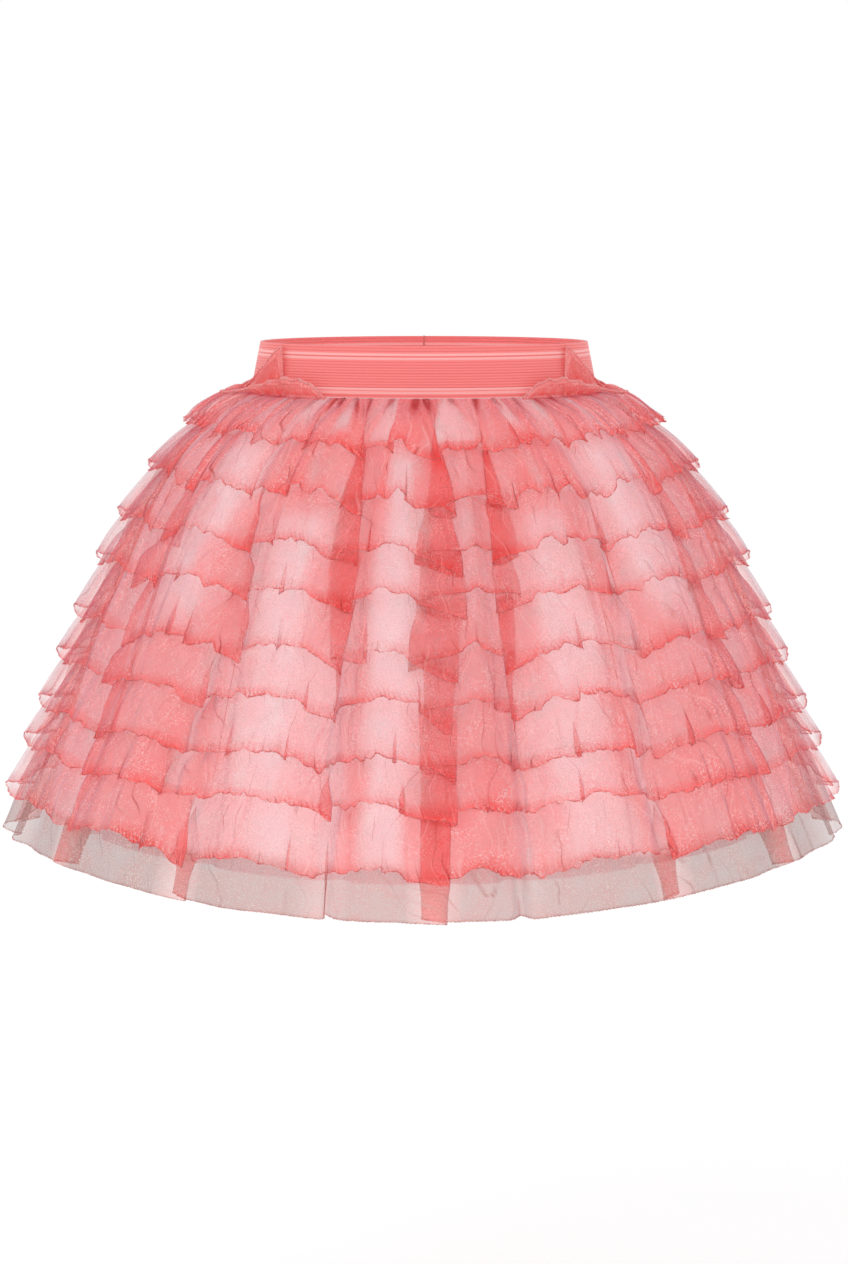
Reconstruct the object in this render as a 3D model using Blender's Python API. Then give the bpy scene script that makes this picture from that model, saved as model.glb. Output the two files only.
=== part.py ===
"""A girl's tiered organza skirt, filled out as it is worn, with nobody inside.

Pieces, from the inside out:
  lining                    pale woven underskirt, hung from the waistband
  base_skirt                sheer organza skirt that carries the ruffles; its hem shows below them
  ruffle_1 to ruffle_9      gathered organza strips, each sewn to the base skirt by its top edge
  waistband                 wide ribbed elastic, joined at the centre back
  frill_left, frill_right   ruffled headings that stand up over the sides of the waistband

Metres, +Z up, front towards -Y. The origin is in the middle of the waist, half way up the waistband.
A drop is a distance down from the waistband's top edge. An angle is counted in degrees from the
centre front, positive towards +X.
"""

import math
from collections import namedtuple

import bpy
from mathutils import Vector

# ---------------------------------------------------------------- driving dimensions

BAND_HEIGHT = 0.030
BAND_TOP_HALF_WIDTH = 0.0980
BAND_TOP_HALF_DEPTH = 0.0765
BAND_FOOT_HALF_WIDTH = 0.1040
BAND_FOOT_HALF_DEPTH = 0.0818
BAND_THICKNESS = 0.0018
BAND_SEGMENTS = 36

BACK_DIP = 0.003  # how much lower the waist sits at the centre back than at the centre front

CLOTH = 0.0012  # wall of every organza and lining piece
SEAM_GAP = 0.0003  # between pieces that are sewn together
FACE_BOW = 0.0003  # how far the twisted faces of the base skirt can bow out between its columns
SEWN_ON = CLOTH + SEAM_GAP + FACE_BOW  # from the base skirt's face to a ruffle's face at its seam
TUCK = 0.009  # how far a ruffle's seam lies above the lower edge of the ruffle over it

# The base skirt: one row for each section. roundness 1 is an ellipse, more draws the sides to a
# point. side_lift is how much higher the section sits at the sides. share is the part of each fold's
# depth that has opened at that height.
Section = namedtuple("Section", "drop half_width half_depth roundness side_lift share")
BASE_SECTIONS = (
    Section(BAND_HEIGHT + SEAM_GAP, 0.1030, 0.0810, 1.00, 0.0000, 0.00),
    Section(0.0420, 0.1205, 0.1020, 1.00, 0.0040, 0.25),
    Section(0.0600, 0.1385, 0.1215, 1.02, 0.0075, 0.50),
    Section(0.0950, 0.1660, 0.1455, 1.06, 0.0055, 0.80),
    Section(0.1500, 0.1930, 0.1700, 1.10, 0.0010, 1.00),
    Section(0.2250, 0.2225, 0.2030, 1.16, 0.0030, 1.00),
    Section(0.3030, 0.2540, 0.2440, 1.38, 0.0059, 1.00),
)

# The folds that run from the waist to the hem, all round: where each starts and ends, its half
# width in degrees, how far its valley lies towards +X, and how deep the valley is once opened. The
# panel on the steep side of the valley laps over the other one.
Fold = namedtuple("Fold", "angle_top angle_hem half_width lean depth")
FOLDS = (
    Fold(-78.0, -74.0, 5.0, 2.0, 0.009),
    Fold(-56.0, -52.0, 5.0, 2.2, 0.010),
    Fold(-37.0, -31.0, 4.5, -2.0, 0.010),
    Fold(-17.0, -9.0, 3.5, -1.5, 0.009),
    Fold(3.0, 1.0, 3.5, -1.5, 0.010),
    Fold(18.0, 14.5, 3.5, 1.5, 0.008),
    Fold(37.0, 31.0, 4.5, 2.0, 0.010),
    Fold(56.0, 52.0, 5.0, -2.2, 0.010),
    Fold(78.0, 74.0, 5.0, -2.0, 0.009),
    Fold(103.0, 101.0, 5.5, 2.0, 0.010),
    Fold(128.0, 126.0, 5.0, -2.0, 0.010),
    Fold(151.0, 153.0, 4.5, 1.8, 0.009),
    Fold(176.0, 178.0, 4.5, -1.8, 0.010),
    Fold(203.0, 205.0, 4.5, 1.8, 0.009),
    Fold(229.0, 232.0, 5.0, -2.0, 0.010),
    Fold(256.0, 260.0, 5.5, 2.0, 0.010),
)
CROWN = 0.30  # a panel between two folds bulges by this share of the folds' depth

# The ruffles, from the waist down: the drop of the lower edge at the front, how far it stands out
# from the base skirt, and how far its belly does. Drops follow the base skirt's lift at the sides.
Ruffle = namedtuple("Ruffle", "edge_drop reach belly")
RUFFLES = (
    Ruffle(0.0538, 0.0095, 0.0090),
    Ruffle(0.0812, 0.0085, 0.0075),
    Ruffle(0.1080, 0.0085, 0.0070),
    Ruffle(0.1328, 0.0085, 0.0070),
    Ruffle(0.1640, 0.0085, 0.0070),
    Ruffle(0.1906, 0.0085, 0.0070),
    Ruffle(0.2208, 0.0085, 0.0070),
    Ruffle(0.2450, 0.0085, 0.0070),
    Ruffle(0.2778, 0.0065, 0.0060),
)
EDGE_WAVE = 0.0016  # a ruffle's edge dips by this at a fold and rises by it on a panel
SHOULDER_RISE = 0.0045  # at the sides the first ruffle puffs up past its own seam by this much
SHOULDER_OUT = 0.0120

# The lining hangs inside the base skirt and takes part of its folds, from crown to valley.
LINING_SECTIONS = (
    Section(BAND_HEIGHT + SEAM_GAP, 0.0993, 0.0775, 1.00, 0.0000, 0.00),
    Section(0.0420, 0.1135, 0.0950, 1.00, 0.0040, 0.10),
    Section(0.0600, 0.1300, 0.1130, 1.02, 0.0075, 0.30),
    Section(0.1500, 0.1835, 0.1610, 1.10, 0.0010, 0.60),
    Section(0.2880, 0.2285, 0.2150, 1.34, 0.0050, 0.60),
)

# A side frill: its upper edge from front to back on one side, as a height above the waistband's
# lower edge and a lean away from the waistband.
FrillPoint = namedtuple("FrillPoint", "angle height lean")
FRILL_POINTS = (
    FrillPoint(34.0, 0.0040, 0.0010),
    FrillPoint(39.0, 0.0115, 0.0020),
    FrillPoint(45.0, 0.0145, 0.0030),
    FrillPoint(51.0, 0.0150, 0.0022),
    FrillPoint(56.0, 0.0250, 0.0014),
    FrillPoint(61.0, 0.0185, 0.0024),
    FrillPoint(68.0, 0.0110, 0.0040),
    FrillPoint(79.0, 0.0070, 0.0050),
    FrillPoint(91.0, 0.0060, 0.0050),
    FrillPoint(103.0, 0.0080, 0.0050),
    FrillPoint(113.0, 0.0120, 0.0040),
    FrillPoint(120.0, 0.0200, 0.0022),
    FrillPoint(125.0, 0.0240, 0.0014),
    FrillPoint(131.0, 0.0150, 0.0024),
    FrillPoint(139.0, 0.0130, 0.0030),
    FrillPoint(147.0, 0.0040, 0.0010),
)
FRILL_FOOT = 0.0015  # the frill's sewn edge above the waistband's lower edge

Colour = namedtuple("Colour", "red green blue alpha roughness")
CORAL_ORGANZA = Colour(0.93, 0.24, 0.24, 0.62, 0.45)
BASE_ORGANZA = Colour(0.86, 0.42, 0.38, 0.40, 0.45)
PALE_LINING = Colour(0.95, 0.66, 0.66, 1.0, 0.60)
CORAL_ELASTIC = Colour(0.90, 0.18, 0.18, 1.0, 0.70)


# ---------------------------------------------------------------- small helpers


def between(low, high, share):
    return low + (high - low) * share


def height_of(drop, angle):
    """The Z of a drop below the waistband's top edge, which dips towards the centre back."""
    return BAND_HEIGHT / 2 - drop - BACK_DIP * (1 - math.cos(math.radians(angle))) / 2


def outline_point(angle, half_width, half_depth, roundness, drop):
    """A point of a section, before its folds."""
    turn = math.radians(angle)
    depth_share = math.copysign(abs(math.cos(turn)) ** roundness, math.cos(turn))
    return Vector((half_width * math.sin(turn), -half_depth * depth_share, height_of(drop, angle)))


def outward(angle, half_width, half_depth):
    """The level direction that points straight out of a section at an angle."""
    turn = math.radians(angle)
    return Vector((math.sin(turn) / half_width, -math.cos(turn) / half_depth, 0.0)).normalized()


def side_share(angle):
    """0 at the centre front and back, 1 at the sides."""
    return math.sin(math.radians(angle)) ** 2


def material(name, colour):
    made = bpy.data.materials.new(name)
    made.use_nodes = True
    shader = made.node_tree.nodes["Principled BSDF"]
    shader.inputs["Base Color"].default_value = (colour.red, colour.green, colour.blue, 1.0)
    shader.inputs["Alpha"].default_value = colour.alpha
    shader.inputs["Roughness"].default_value = colour.roughness
    shader.inputs["Metallic"].default_value = 0.0
    return made


def cloth_piece(name, rings, finish, thickness=CLOTH, closed=True):
    """A wall of cloth through rings of points, which are its outer face. Each ring runs towards
    +X across the front, and the rings run from the top down."""
    count = len(rings[0])
    faces = []
    for row in range(len(rings) - 1):
        for column in range(count if closed else count - 1):
            following = (column + 1) % count
            top, foot = row * count, (row + 1) * count
            faces.append((top + column, foot + column, foot + following, top + following))
    mesh = bpy.data.meshes.new(name)
    mesh.from_pydata([point for ring in rings for point in ring], [], faces)
    mesh.materials.append(finish)
    mesh.shade_smooth()
    piece = bpy.data.objects.new(name, mesh)
    bpy.context.scene.collection.objects.link(piece)
    wall = piece.modifiers.new("wall", "SOLIDIFY")
    wall.thickness = thickness
    wall.offset = -1.0
    wall.use_even_offset = True
    wall.use_quality_normals = True
    return piece


# ---------------------------------------------------------------- the folds' columns

# Each fold has three columns of points, for its two shoulders and its valley, and the panel that
# follows it has one in its middle. A column is an angle at the waist, an angle at the hem and the
# depth it moves in (or out, where it is negative) when the folds have opened.
Column = namedtuple("Column", "angle_top angle_hem depth")


def columns():
    made = []
    for index, fold in enumerate(FOLDS):
        following = FOLDS[(index + 1) % len(FOLDS)]
        wrap = 360.0 if index == len(FOLDS) - 1 else 0.0
        for shift, depth in ((-fold.half_width, 0.0), (fold.lean, fold.depth), (fold.half_width, 0.0)):
            made.append(Column(fold.angle_top + shift, fold.angle_hem + shift, depth))
        crown = -CROWN * (fold.depth + following.depth) / 2
        made.append(
            Column(
                (fold.angle_top + following.angle_top + wrap) / 2,
                (fold.angle_hem + following.angle_hem + wrap) / 2,
                crown,
            )
        )
    return made


COLUMNS = columns()
FIRST_DROP = BASE_SECTIONS[0].drop
HEM_DROP = BASE_SECTIONS[-1].drop


def angle_at(column, drop):
    return between(column.angle_top, column.angle_hem, (drop - FIRST_DROP) / (HEM_DROP - FIRST_DROP))


def base_ring(section):
    ring = []
    for column in COLUMNS:
        angle = angle_at(column, section.drop)
        drop = section.drop - section.side_lift * side_share(angle)
        point = outline_point(
            angle, section.half_width, section.half_depth, section.roundness, drop
        )
        inwards = column.depth * section.share
        ring.append(point - outward(angle, section.half_width, section.half_depth) * inwards)
    return ring


BASE_RINGS = [base_ring(section) for section in BASE_SECTIONS]


def row_above(drop):
    """The number of the last section above a drop."""
    row = 0
    while row < len(BASE_SECTIONS) - 2 and drop > BASE_SECTIONS[row + 1].drop:
        row += 1
    return row


def spread_at(drop):
    """How much longer a level step off the base skirt is than the same step square to its face."""
    row = row_above(drop)
    above, below = BASE_SECTIONS[row], BASE_SECTIONS[row + 1]
    rise = (below.drop - below.side_lift) - (above.drop - above.side_lift)
    return math.hypot(1.0, (below.half_width - above.half_width) / rise)


def on_base(index, drop):
    """The point of column index on the base skirt's face at a drop."""
    row = row_above(drop)
    share = (drop - BASE_SECTIONS[row].drop) / (BASE_SECTIONS[row + 1].drop - BASE_SECTIONS[row].drop)
    return BASE_RINGS[row][index].lerp(BASE_RINGS[row + 1][index], share)


def square_to(start, end):
    """The level direction that points out of a ring, square to its edge from start to end."""
    return Vector((end.y - start.y, start.x - end.x, 0.0)).normalized()


def moved_out(ring, distance):
    """The ring with each of its edges moved level and square to itself, out of the skirt."""
    moved = []
    for index, point in enumerate(ring):
        before = square_to(ring[index - 1], point)
        after = square_to(point, ring[(index + 1) % len(ring)])
        moved.append(point + (before + after) * distance / (1.0 + before.dot(after)))
    return moved


# ---------------------------------------------------------------- the pieces


def waistband(finish):
    rings = []
    for drop, half_width, half_depth in (
        (0.0, BAND_TOP_HALF_WIDTH, BAND_TOP_HALF_DEPTH),
        (BAND_HEIGHT, BAND_FOOT_HALF_WIDTH, BAND_FOOT_HALF_DEPTH),
    ):
        angles = [360.0 * step / BAND_SEGMENTS for step in range(BAND_SEGMENTS)]
        rings.append([outline_point(a, half_width, half_depth, 1.0, drop) for a in angles])
    return cloth_piece("waistband", rings, finish, BAND_THICKNESS)


def wave_at(index):
    """A ruffle's edge dips at a fold's valley and rises on a panel's crown."""
    depth = COLUMNS[index].depth
    return math.copysign(EDGE_WAVE, depth) if depth else 0.0


def with_shoulder(sewn, belly):
    """The first ruffle's belly, which stands up over its seam towards the sides."""
    outwards = Vector((sewn.x, sewn.y, 0.0)).normalized()
    beside = outwards.x ** 2
    shoulder = sewn + outwards * SHOULDER_OUT + Vector((0.0, 0.0, SHOULDER_RISE))
    return belly.lerp(shoulder, beside)


def ruffle(number, row, finish):
    """One gathered strip: its sewn edge, its belly and its lower edge, on the base skirt's columns."""
    sewn = FIRST_DROP if number == 1 else RUFFLES[number - 2].edge_drop - TUCK
    belly = (sewn + row.edge_drop) / 2
    sewn_ring = [on_base(index, sewn) for index in range(len(COLUMNS))]
    belly_ring = [on_base(index, belly) for index in range(len(COLUMNS))]
    edge_ring = [on_base(index, row.edge_drop + wave_at(index)) for index in range(len(COLUMNS))]
    rings = [
        moved_out(sewn_ring, SEWN_ON * spread_at(sewn)),
        moved_out(belly_ring, row.belly),
        moved_out(edge_ring, row.reach),
    ]
    if number == 1:
        rings[1] = [with_shoulder(rings[0][index], point) for index, point in enumerate(rings[1])]
    return cloth_piece(f"ruffle_{number}", rings, finish)


def on_band(angle, height, out):
    """A point beside the waistband, at a height above its lower edge."""
    share = height / BAND_HEIGHT
    half_width = between(BAND_FOOT_HALF_WIDTH, BAND_TOP_HALF_WIDTH, share)
    half_depth = between(BAND_FOOT_HALF_DEPTH, BAND_TOP_HALF_DEPTH, share)
    point = outline_point(angle, half_width, half_depth, 1.0, BAND_HEIGHT - height)
    return point + outward(angle, half_width, half_depth) * out


def frill(name, side, finish):
    """A strip that stands up from the waist seam; side is 1 for +X and -1 for -X."""
    clear = CLOTH + SEAM_GAP * 2
    upper, lower = [], []
    for point in sorted(FRILL_POINTS, key=lambda row: row.angle * side):
        angle = point.angle * side
        upper.append(on_band(angle, point.height, clear + point.lean))
        lower.append(on_band(angle, FRILL_FOOT, clear))
    return cloth_piece(name, [upper, lower], finish, closed=False)


def main():
    for old in list(bpy.data.objects):
        bpy.data.objects.remove(old)
    organza = material("coral_organza", CORAL_ORGANZA)
    lining_rings = [base_ring(section)[1::2] for section in LINING_SECTIONS]
    cloth_piece("lining", lining_rings, material("pale_lining", PALE_LINING))
    cloth_piece("base_skirt", BASE_RINGS, material("base_organza", BASE_ORGANZA))
    for number, row in enumerate(RUFFLES, start=1):
        ruffle(number, row, organza)
    waistband(material("coral_elastic", CORAL_ELASTIC))
    frill("frill_right", 1, organza)
    frill("frill_left", -1, organza)


main()
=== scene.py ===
# %% [markdown]
# # A girl's tiered organza skirt
# The real skirt is sewn from three cloths. A sheer organza skirt hangs from a wide elastic and
# carries nine gathered organza ruffles. A pale woven lining hangs inside it and shines through.
# Everything follows one form, the skirt as it stands out when it is worn, so the form comes first
# and every piece is a sheet laid on it: an angle round the waist, a drop below the waistband's top
# edge, and a distance out from the form.

# %% Open the frame
import math
from collections import namedtuple
from functools import partial
from types import SimpleNamespace

import bpy
import numpy as np
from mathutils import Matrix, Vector


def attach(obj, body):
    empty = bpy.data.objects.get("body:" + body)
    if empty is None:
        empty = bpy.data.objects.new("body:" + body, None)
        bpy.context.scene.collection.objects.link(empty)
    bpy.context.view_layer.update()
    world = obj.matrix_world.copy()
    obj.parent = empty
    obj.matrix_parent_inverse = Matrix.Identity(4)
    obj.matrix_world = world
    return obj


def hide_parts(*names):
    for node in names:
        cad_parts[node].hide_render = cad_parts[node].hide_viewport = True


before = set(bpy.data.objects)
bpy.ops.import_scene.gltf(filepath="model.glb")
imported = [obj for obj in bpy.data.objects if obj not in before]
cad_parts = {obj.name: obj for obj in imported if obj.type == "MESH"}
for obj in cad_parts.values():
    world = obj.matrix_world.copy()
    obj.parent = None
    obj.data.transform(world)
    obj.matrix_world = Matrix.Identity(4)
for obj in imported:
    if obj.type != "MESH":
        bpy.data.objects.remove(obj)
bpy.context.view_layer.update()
print("solids in the frame:", ", ".join(sorted(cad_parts)))

# %% [markdown]
# ## The form
# A pattern cutter would drape the skirt on a stand and mark level lines on it. Here each level line
# is a row of a table: how far it reaches to the side and to the front, how round it is, how much
# higher it sits at the sides, and how far the folds have opened there. A smooth curve through the
# rows gives every level between them, which keeps the cloth free of kinks.

# %% Sizes of the form
BAND_HEIGHT = 0.030
BACK_DIP = 0.003  # the waist sits this much lower at the centre back
SEAM = 0.0018  # from the base skirt to a ruffle where it is sewn on
TUCK = 0.0025  # a ruffle is sewn on this far above the lower edge of the one over it

Section = namedtuple("Section", "drop half_width half_depth roundness side_lift opened")
BASE_SECTIONS = (
    Section(0.0303, 0.1030, 0.0810, 1.00, 0.0000, 0.00),
    Section(0.0420, 0.1205, 0.1020, 1.00, 0.0040, 0.25),
    Section(0.0600, 0.1385, 0.1215, 1.02, 0.0075, 0.50),
    Section(0.0950, 0.1660, 0.1455, 1.06, 0.0055, 0.80),
    Section(0.1500, 0.1930, 0.1700, 1.10, 0.0010, 1.00),
    Section(0.2250, 0.2225, 0.2030, 1.16, 0.0030, 1.00),
    Section(0.3030, 0.2540, 0.2440, 1.38, 0.0078, 1.00),
)
LINING_SECTIONS = (
    Section(0.0303, 0.0993, 0.0775, 1.00, 0.0000, 0.00),
    Section(0.0420, 0.1135, 0.0950, 1.00, 0.0040, 0.10),
    Section(0.0600, 0.1300, 0.1130, 1.02, 0.0075, 0.30),
    Section(0.1500, 0.1835, 0.1610, 1.10, 0.0010, 0.60),
    Section(0.2880, 0.2285, 0.2150, 1.34, 0.0050, 0.60),
)
FIRST_DROP = BASE_SECTIONS[0].drop
HEM_DROP = BASE_SECTIONS[-1].drop
print(f"the skirt is {HEM_DROP - FIRST_DROP:.3f} m long below the waistband")


# %% Points on the form
def smooth_through(sections, column, drop):
    """One column of a table of sections, read at any drop along a smooth curve."""
    drops = np.array([row.drop for row in sections])
    values = np.array([getattr(row, column) for row in sections])
    slopes = np.gradient(values, drops)
    row = np.clip(np.searchsorted(drops, drop) - 1, 0, len(drops) - 2)
    span = drops[row + 1] - drops[row]
    t = np.clip((drop - drops[row]) / span, 0.0, 1.0)
    start = values[row] * (2 * t**3 - 3 * t**2 + 1) + slopes[row] * span * (t**3 - 2 * t**2 + t)
    end = values[row + 1] * (3 * t**2 - 2 * t**3) + slopes[row + 1] * span * (t**3 - t**2)
    return start + end


def on_form(sections, angle, drop):
    """Points of the form at angles in degrees from the centre front, +X positive, and drops."""
    turn = np.radians(angle)
    roundness = smooth_through(sections, "roundness", drop)
    depth = np.sign(np.cos(turn)) * np.abs(np.cos(turn)) ** roundness
    lift = smooth_through(sections, "side_lift", drop) * np.sin(turn) ** 2
    x = smooth_through(sections, "half_width", drop) * np.sin(turn)
    y = -smooth_through(sections, "half_depth", drop) * depth
    z = BAND_HEIGHT / 2 - drop + lift - BACK_DIP * (1 - np.cos(turn)) / 2
    return np.stack([x, y, z], axis=-1)


STEP = 0.05  # degrees, for measuring the form's direction


def laid_on_form(sections, angle, drop, along, out):
    """Points moved along the form by one distance and level out of it by another, in metres."""
    ahead, behind = on_form(sections, angle + STEP, drop), on_form(sections, angle - STEP, drop)
    per_degree = np.linalg.norm((ahead - behind)[..., :2], axis=-1) / (2 * STEP)
    moved = angle + along / np.maximum(per_degree, 1e-5)
    way = (on_form(sections, moved + STEP, drop) - on_form(sections, moved - STEP, drop))[..., :2]
    way /= np.linalg.norm(way, axis=-1, keepdims=True)
    level_out = np.stack([way[..., 1], -way[..., 0], np.zeros(way.shape[:-1])], axis=-1)
    return on_form(sections, moved, drop) + level_out * out[..., None]


hem_ring = on_form(BASE_SECTIONS, np.linspace(-180, 180, 721), np.full(721, HEM_DROP))
hem_width, hem_depth = np.ptp(hem_ring, axis=0)[:2]
print(f"the form's hem is {hem_width:.3f} m wide and {hem_depth:.3f} m deep")

# %% [markdown]
# ## The folds and the taut panels
# Gathering at the waist sends folds down the whole skirt. Each one is an S in the cloth: one panel
# laps over the next, turns back under itself and turns again. Seen from the front, the three layers
# make a stripe of deeper colour with one crisp edge. Between the folds some of the cloth is pulled
# flat over the lining, and there it looks palest. Two short tables place the folds and the taut
# panels, unevenly, all the way round. A fold keeps its width in metres on its way down.

# %% Table of folds
# Angles are in degrees from the centre front, at the waist and at the hem, and lengths in metres.
# way tells which side laps over. depth is how far the S sinks, lap and lap_hem how far it laps above
# and at the hem, in half widths, and strip the same in the base skirt. dip is how much lower the
# cloth hangs in the fold, and full how plump it stays, because the others spread out thin.
Fold = namedtuple("Fold", "angle_top angle_hem half_width way depth lap lap_hem strip dip full")
FOLDS = (
    Fold(-80.0, -77.0, 0.0105, -1, 0.004, 0.25, 0.20, 0.20, 0.002, 0.20),
    Fold(-59.0, -56.5, 0.0125, -1, 0.009, 0.60, 0.38, 1.25, 0.006, 0.30),
    Fold(-37.0, -33.6, 0.0130, 1, 0.009, 0.85, 0.42, 1.45, 0.006, 0.30),
    Fold(-15.1, -13.0, 0.0136, 1, 0.011, 1.30, 0.25, 0.60, 0.011, 0.50),
    Fold(3.3, 1.2, 0.0142, 1, 0.012, 1.35, 1.20, 1.15, 0.015, 1.00),
    Fold(15.0, 13.2, 0.0125, -1, 0.010, 1.25, 0.40, 0.30, 0.010, 0.60),
    Fold(37.0, 34.0, 0.0130, -1, 0.009, 0.85, 0.42, 1.50, 0.006, 0.30),
    Fold(59.0, 56.5, 0.0125, 1, 0.009, 0.60, 0.38, 1.25, 0.006, 0.30),
    Fold(80.0, 77.0, 0.0105, 1, 0.004, 0.25, 0.20, 0.20, 0.002, 0.20),
    Fold(103.0, 100.0, 0.0145, -1, 0.010, 1.05, 0.60, 0.90, 0.007, 0.30),
    Fold(124.0, 122.0, 0.0125, 1, 0.009, 1.25, 0.80, 1.30, 0.009, 0.50),
    Fold(146.0, 148.0, 0.0150, -1, 0.011, 1.05, 0.60, 0.70, 0.008, 0.35),
    Fold(168.0, 170.0, 0.0120, 1, 0.010, 1.30, 1.10, 1.20, 0.013, 0.90),
    Fold(189.0, 187.0, 0.0140, -1, 0.010, 1.10, 0.50, 0.50, 0.009, 0.40),
    Fold(212.0, 214.0, 0.0155, 1, 0.011, 1.10, 1.10, 1.30, 0.010, 0.80),
    Fold(236.0, 238.0, 0.0125, -1, 0.009, 1.25, 0.60, 0.80, 0.008, 0.35),
    Fold(258.0, 260.0, 0.0145, 1, 0.010, 1.00, 0.60, 1.20, 0.006, 0.30),
)
print(len(FOLDS), "folds, the widest", 2000 * max(fold.half_width for fold in FOLDS), "mm across")

# %% Table of taut panels
# half_top and half_hem are half the panel's width in degrees, starts and ends the drops between which
# the cloth is taut, and pale how strongly that shows.
Panel = namedtuple("Panel", "angle_top angle_hem half_top half_hem starts ends pale")
PANELS = (
    Panel(-70.0, -71.0, 3.0, 2.0, 0.050, 0.090, 0.5),
    Panel(-44.5, -46.0, 5.6, 5.0, 0.042, 0.133, 1.0),
    Panel(-25.5, -25.0, 5.2, 7.0, 0.080, 0.300, 1.0),
    Panel(-17.0, -15.5, 2.5, 5.0, 0.150, 0.300, 0.7),
    Panel(-6.0, -4.8, 3.8, 3.5, 0.045, 0.300, 1.0),
    Panel(9.0, 10.0, 2.6, 3.0, 0.045, 0.130, 0.5),
    Panel(24.5, 25.0, 4.5, 6.0, 0.080, 0.300, 0.92),
    Panel(17.0, 16.0, 2.0, 4.0, 0.165, 0.300, 0.35),
    Panel(45.0, 46.0, 5.6, 5.0, 0.042, 0.133, 1.0),
    Panel(71.0, 72.0, 3.0, 2.0, 0.050, 0.090, 0.5),
    Panel(90.0, 88.0, 6.0, 4.5, 0.030, 0.280, 0.9),
    Panel(113.0, 112.0, 5.0, 6.5, 0.080, 0.300, 1.0),
    Panel(135.0, 135.0, 5.5, 4.5, 0.050, 0.160, 1.0),
    Panel(157.0, 159.0, 4.5, 7.5, 0.080, 0.300, 1.0),
    Panel(178.0, 178.5, 4.0, 5.0, 0.045, 0.300, 1.0),
    Panel(201.0, 200.0, 5.0, 7.5, 0.080, 0.300, 1.0),
    Panel(224.0, 226.0, 5.5, 4.5, 0.050, 0.160, 1.0),
    Panel(247.0, 249.0, 5.0, 6.5, 0.080, 0.300, 1.0),
    Panel(270.0, 271.5, 6.0, 4.5, 0.030, 0.280, 0.9),
)
print(len(PANELS), "taut panels")

# %% Places on the folds


def eased(t):
    """0 below 0, 1 above 1, and a smooth step between."""
    t = np.clip(t, 0.0, 1.0)
    return t * t * (3 - 2 * t)


def ramp(value, start, length):
    """0 up to a start, 1 from a length beyond it, and a smooth step between."""
    return eased((value - start) / length)


def wrapped(angle):
    return (angle + 180.0) % 360.0 - 180.0


def sideways(angle):
    """0 at the centre front and the centre back, 1 at both sides."""
    return np.abs(np.sin(np.radians(angle)))


def way_down(drop):
    """0 at the waist seam, 1 at the hem."""
    return (drop - FIRST_DROP) / (HEM_DROP - FIRST_DROP)


def leaning(row, drop):
    """The angle of a fold or a panel at a drop."""
    return row.angle_top + (row.angle_hem - row.angle_top) * way_down(drop)


def half_angle(fold, drop):
    """Half the width of a fold in degrees at a drop."""
    return np.degrees(fold.half_width / smooth_through(BASE_SECTIONS, "half_width", drop))


def place_in(fold, angle, drop, shift=0.0):
    """Where an angle lies across a fold: -1 at the panel that laps over, 1 at the other side."""
    return wrapped(angle - leaning(fold, drop) - shift) / half_angle(fold, drop) * fold.way


def across_panels(angle, drop):
    """For each point, how far it is across the panel between two folds, from 0 to 1, and which."""
    across, which = np.full_like(angle, -1.0), np.zeros(angle.shape, int)
    for index, fold in enumerate(FOLDS):
        following = FOLDS[(index + 1) % len(FOLDS)]
        start = leaning(fold, drop) + half_angle(fold, drop)
        panel = (leaning(following, drop) - half_angle(following, drop) - start) % 360.0
        here = (angle - start) % 360.0 / panel
        across, which = np.where(here < 1.0, here, across), np.where(here < 1.0, index, which)
    return across, which


print(f"the first fold is {2 * half_angle(FOLDS[0], HEM_DROP):.1f} degrees wide at the hem")

# %% The shape of a fold
CROWN = 0.30  # a panel between two folds bulges by this share of their depth
ARCH = 0.0040  # the edge of a ruffle rises by this in the middle of a panel
DIP_LOST, FULL_DIP_LOST = 0.75, 0.5  # the share of its dip that a fold loses on its way down
DIP_MIDDLE = -0.35  # the place in a fold where the cloth hangs lowest
OUTER_TURN, INNER_TURN = -0.50, 0.45  # where the S turns, in half widths from the fold's middle
AS_DRAWN = np.zeros(len(FOLDS))  # no fold shifted to a side


def s_fold(place, reach, lap, depth):
    """An S in the cloth: how far it carries a point along and out. place runs from -1 to 1 across it
    from the panel that laps over, and reach is half its width in metres."""
    inside = np.abs(place) < 1.0
    sinks = eased((place - OUTER_TURN + 0.1) / (INNER_TURN - OUTER_TURN))
    rises = ramp(place, INNER_TURN, 1.0 - INNER_TURN)
    along = np.where(inside, -np.sin(np.pi * place) * lap * reach, 0.0)
    return along, np.where(inside, -depth * sinks * (1 - rises), 0.0)


def lap_at(fold, drop):
    """How strongly a fold laps at a drop."""
    return fold.lap + (fold.lap_hem - fold.lap) * ramp(drop, 0.10, 0.14)


def folded(angle, drop, opened, strengths, shifts=AS_DRAWN):
    """How far the folds carry the cloth along the form and out of it, at angles and drops. strengths
    scales how far each fold laps; a ruffle also shifts each of its own folds by some degrees."""
    along, out = np.zeros_like(angle), np.zeros_like(angle)
    for index, fold in enumerate(FOLDS):
        place = place_in(fold, angle, drop, shifts[index])
        lap = lap_at(fold, drop) * strengths[index]
        moved, sunk = s_fold(place, fold.half_width, lap, fold.depth)
        along += moved * fold.way * opened
        out += sunk * opened
    across, which = across_panels(angle, drop)
    crown = np.array([CROWN * fold.depth for fold in FOLDS])[which]
    out += np.where(across >= 0.0, np.sin(np.pi * across) * crown, 0.0) * opened
    return along, out


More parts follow.
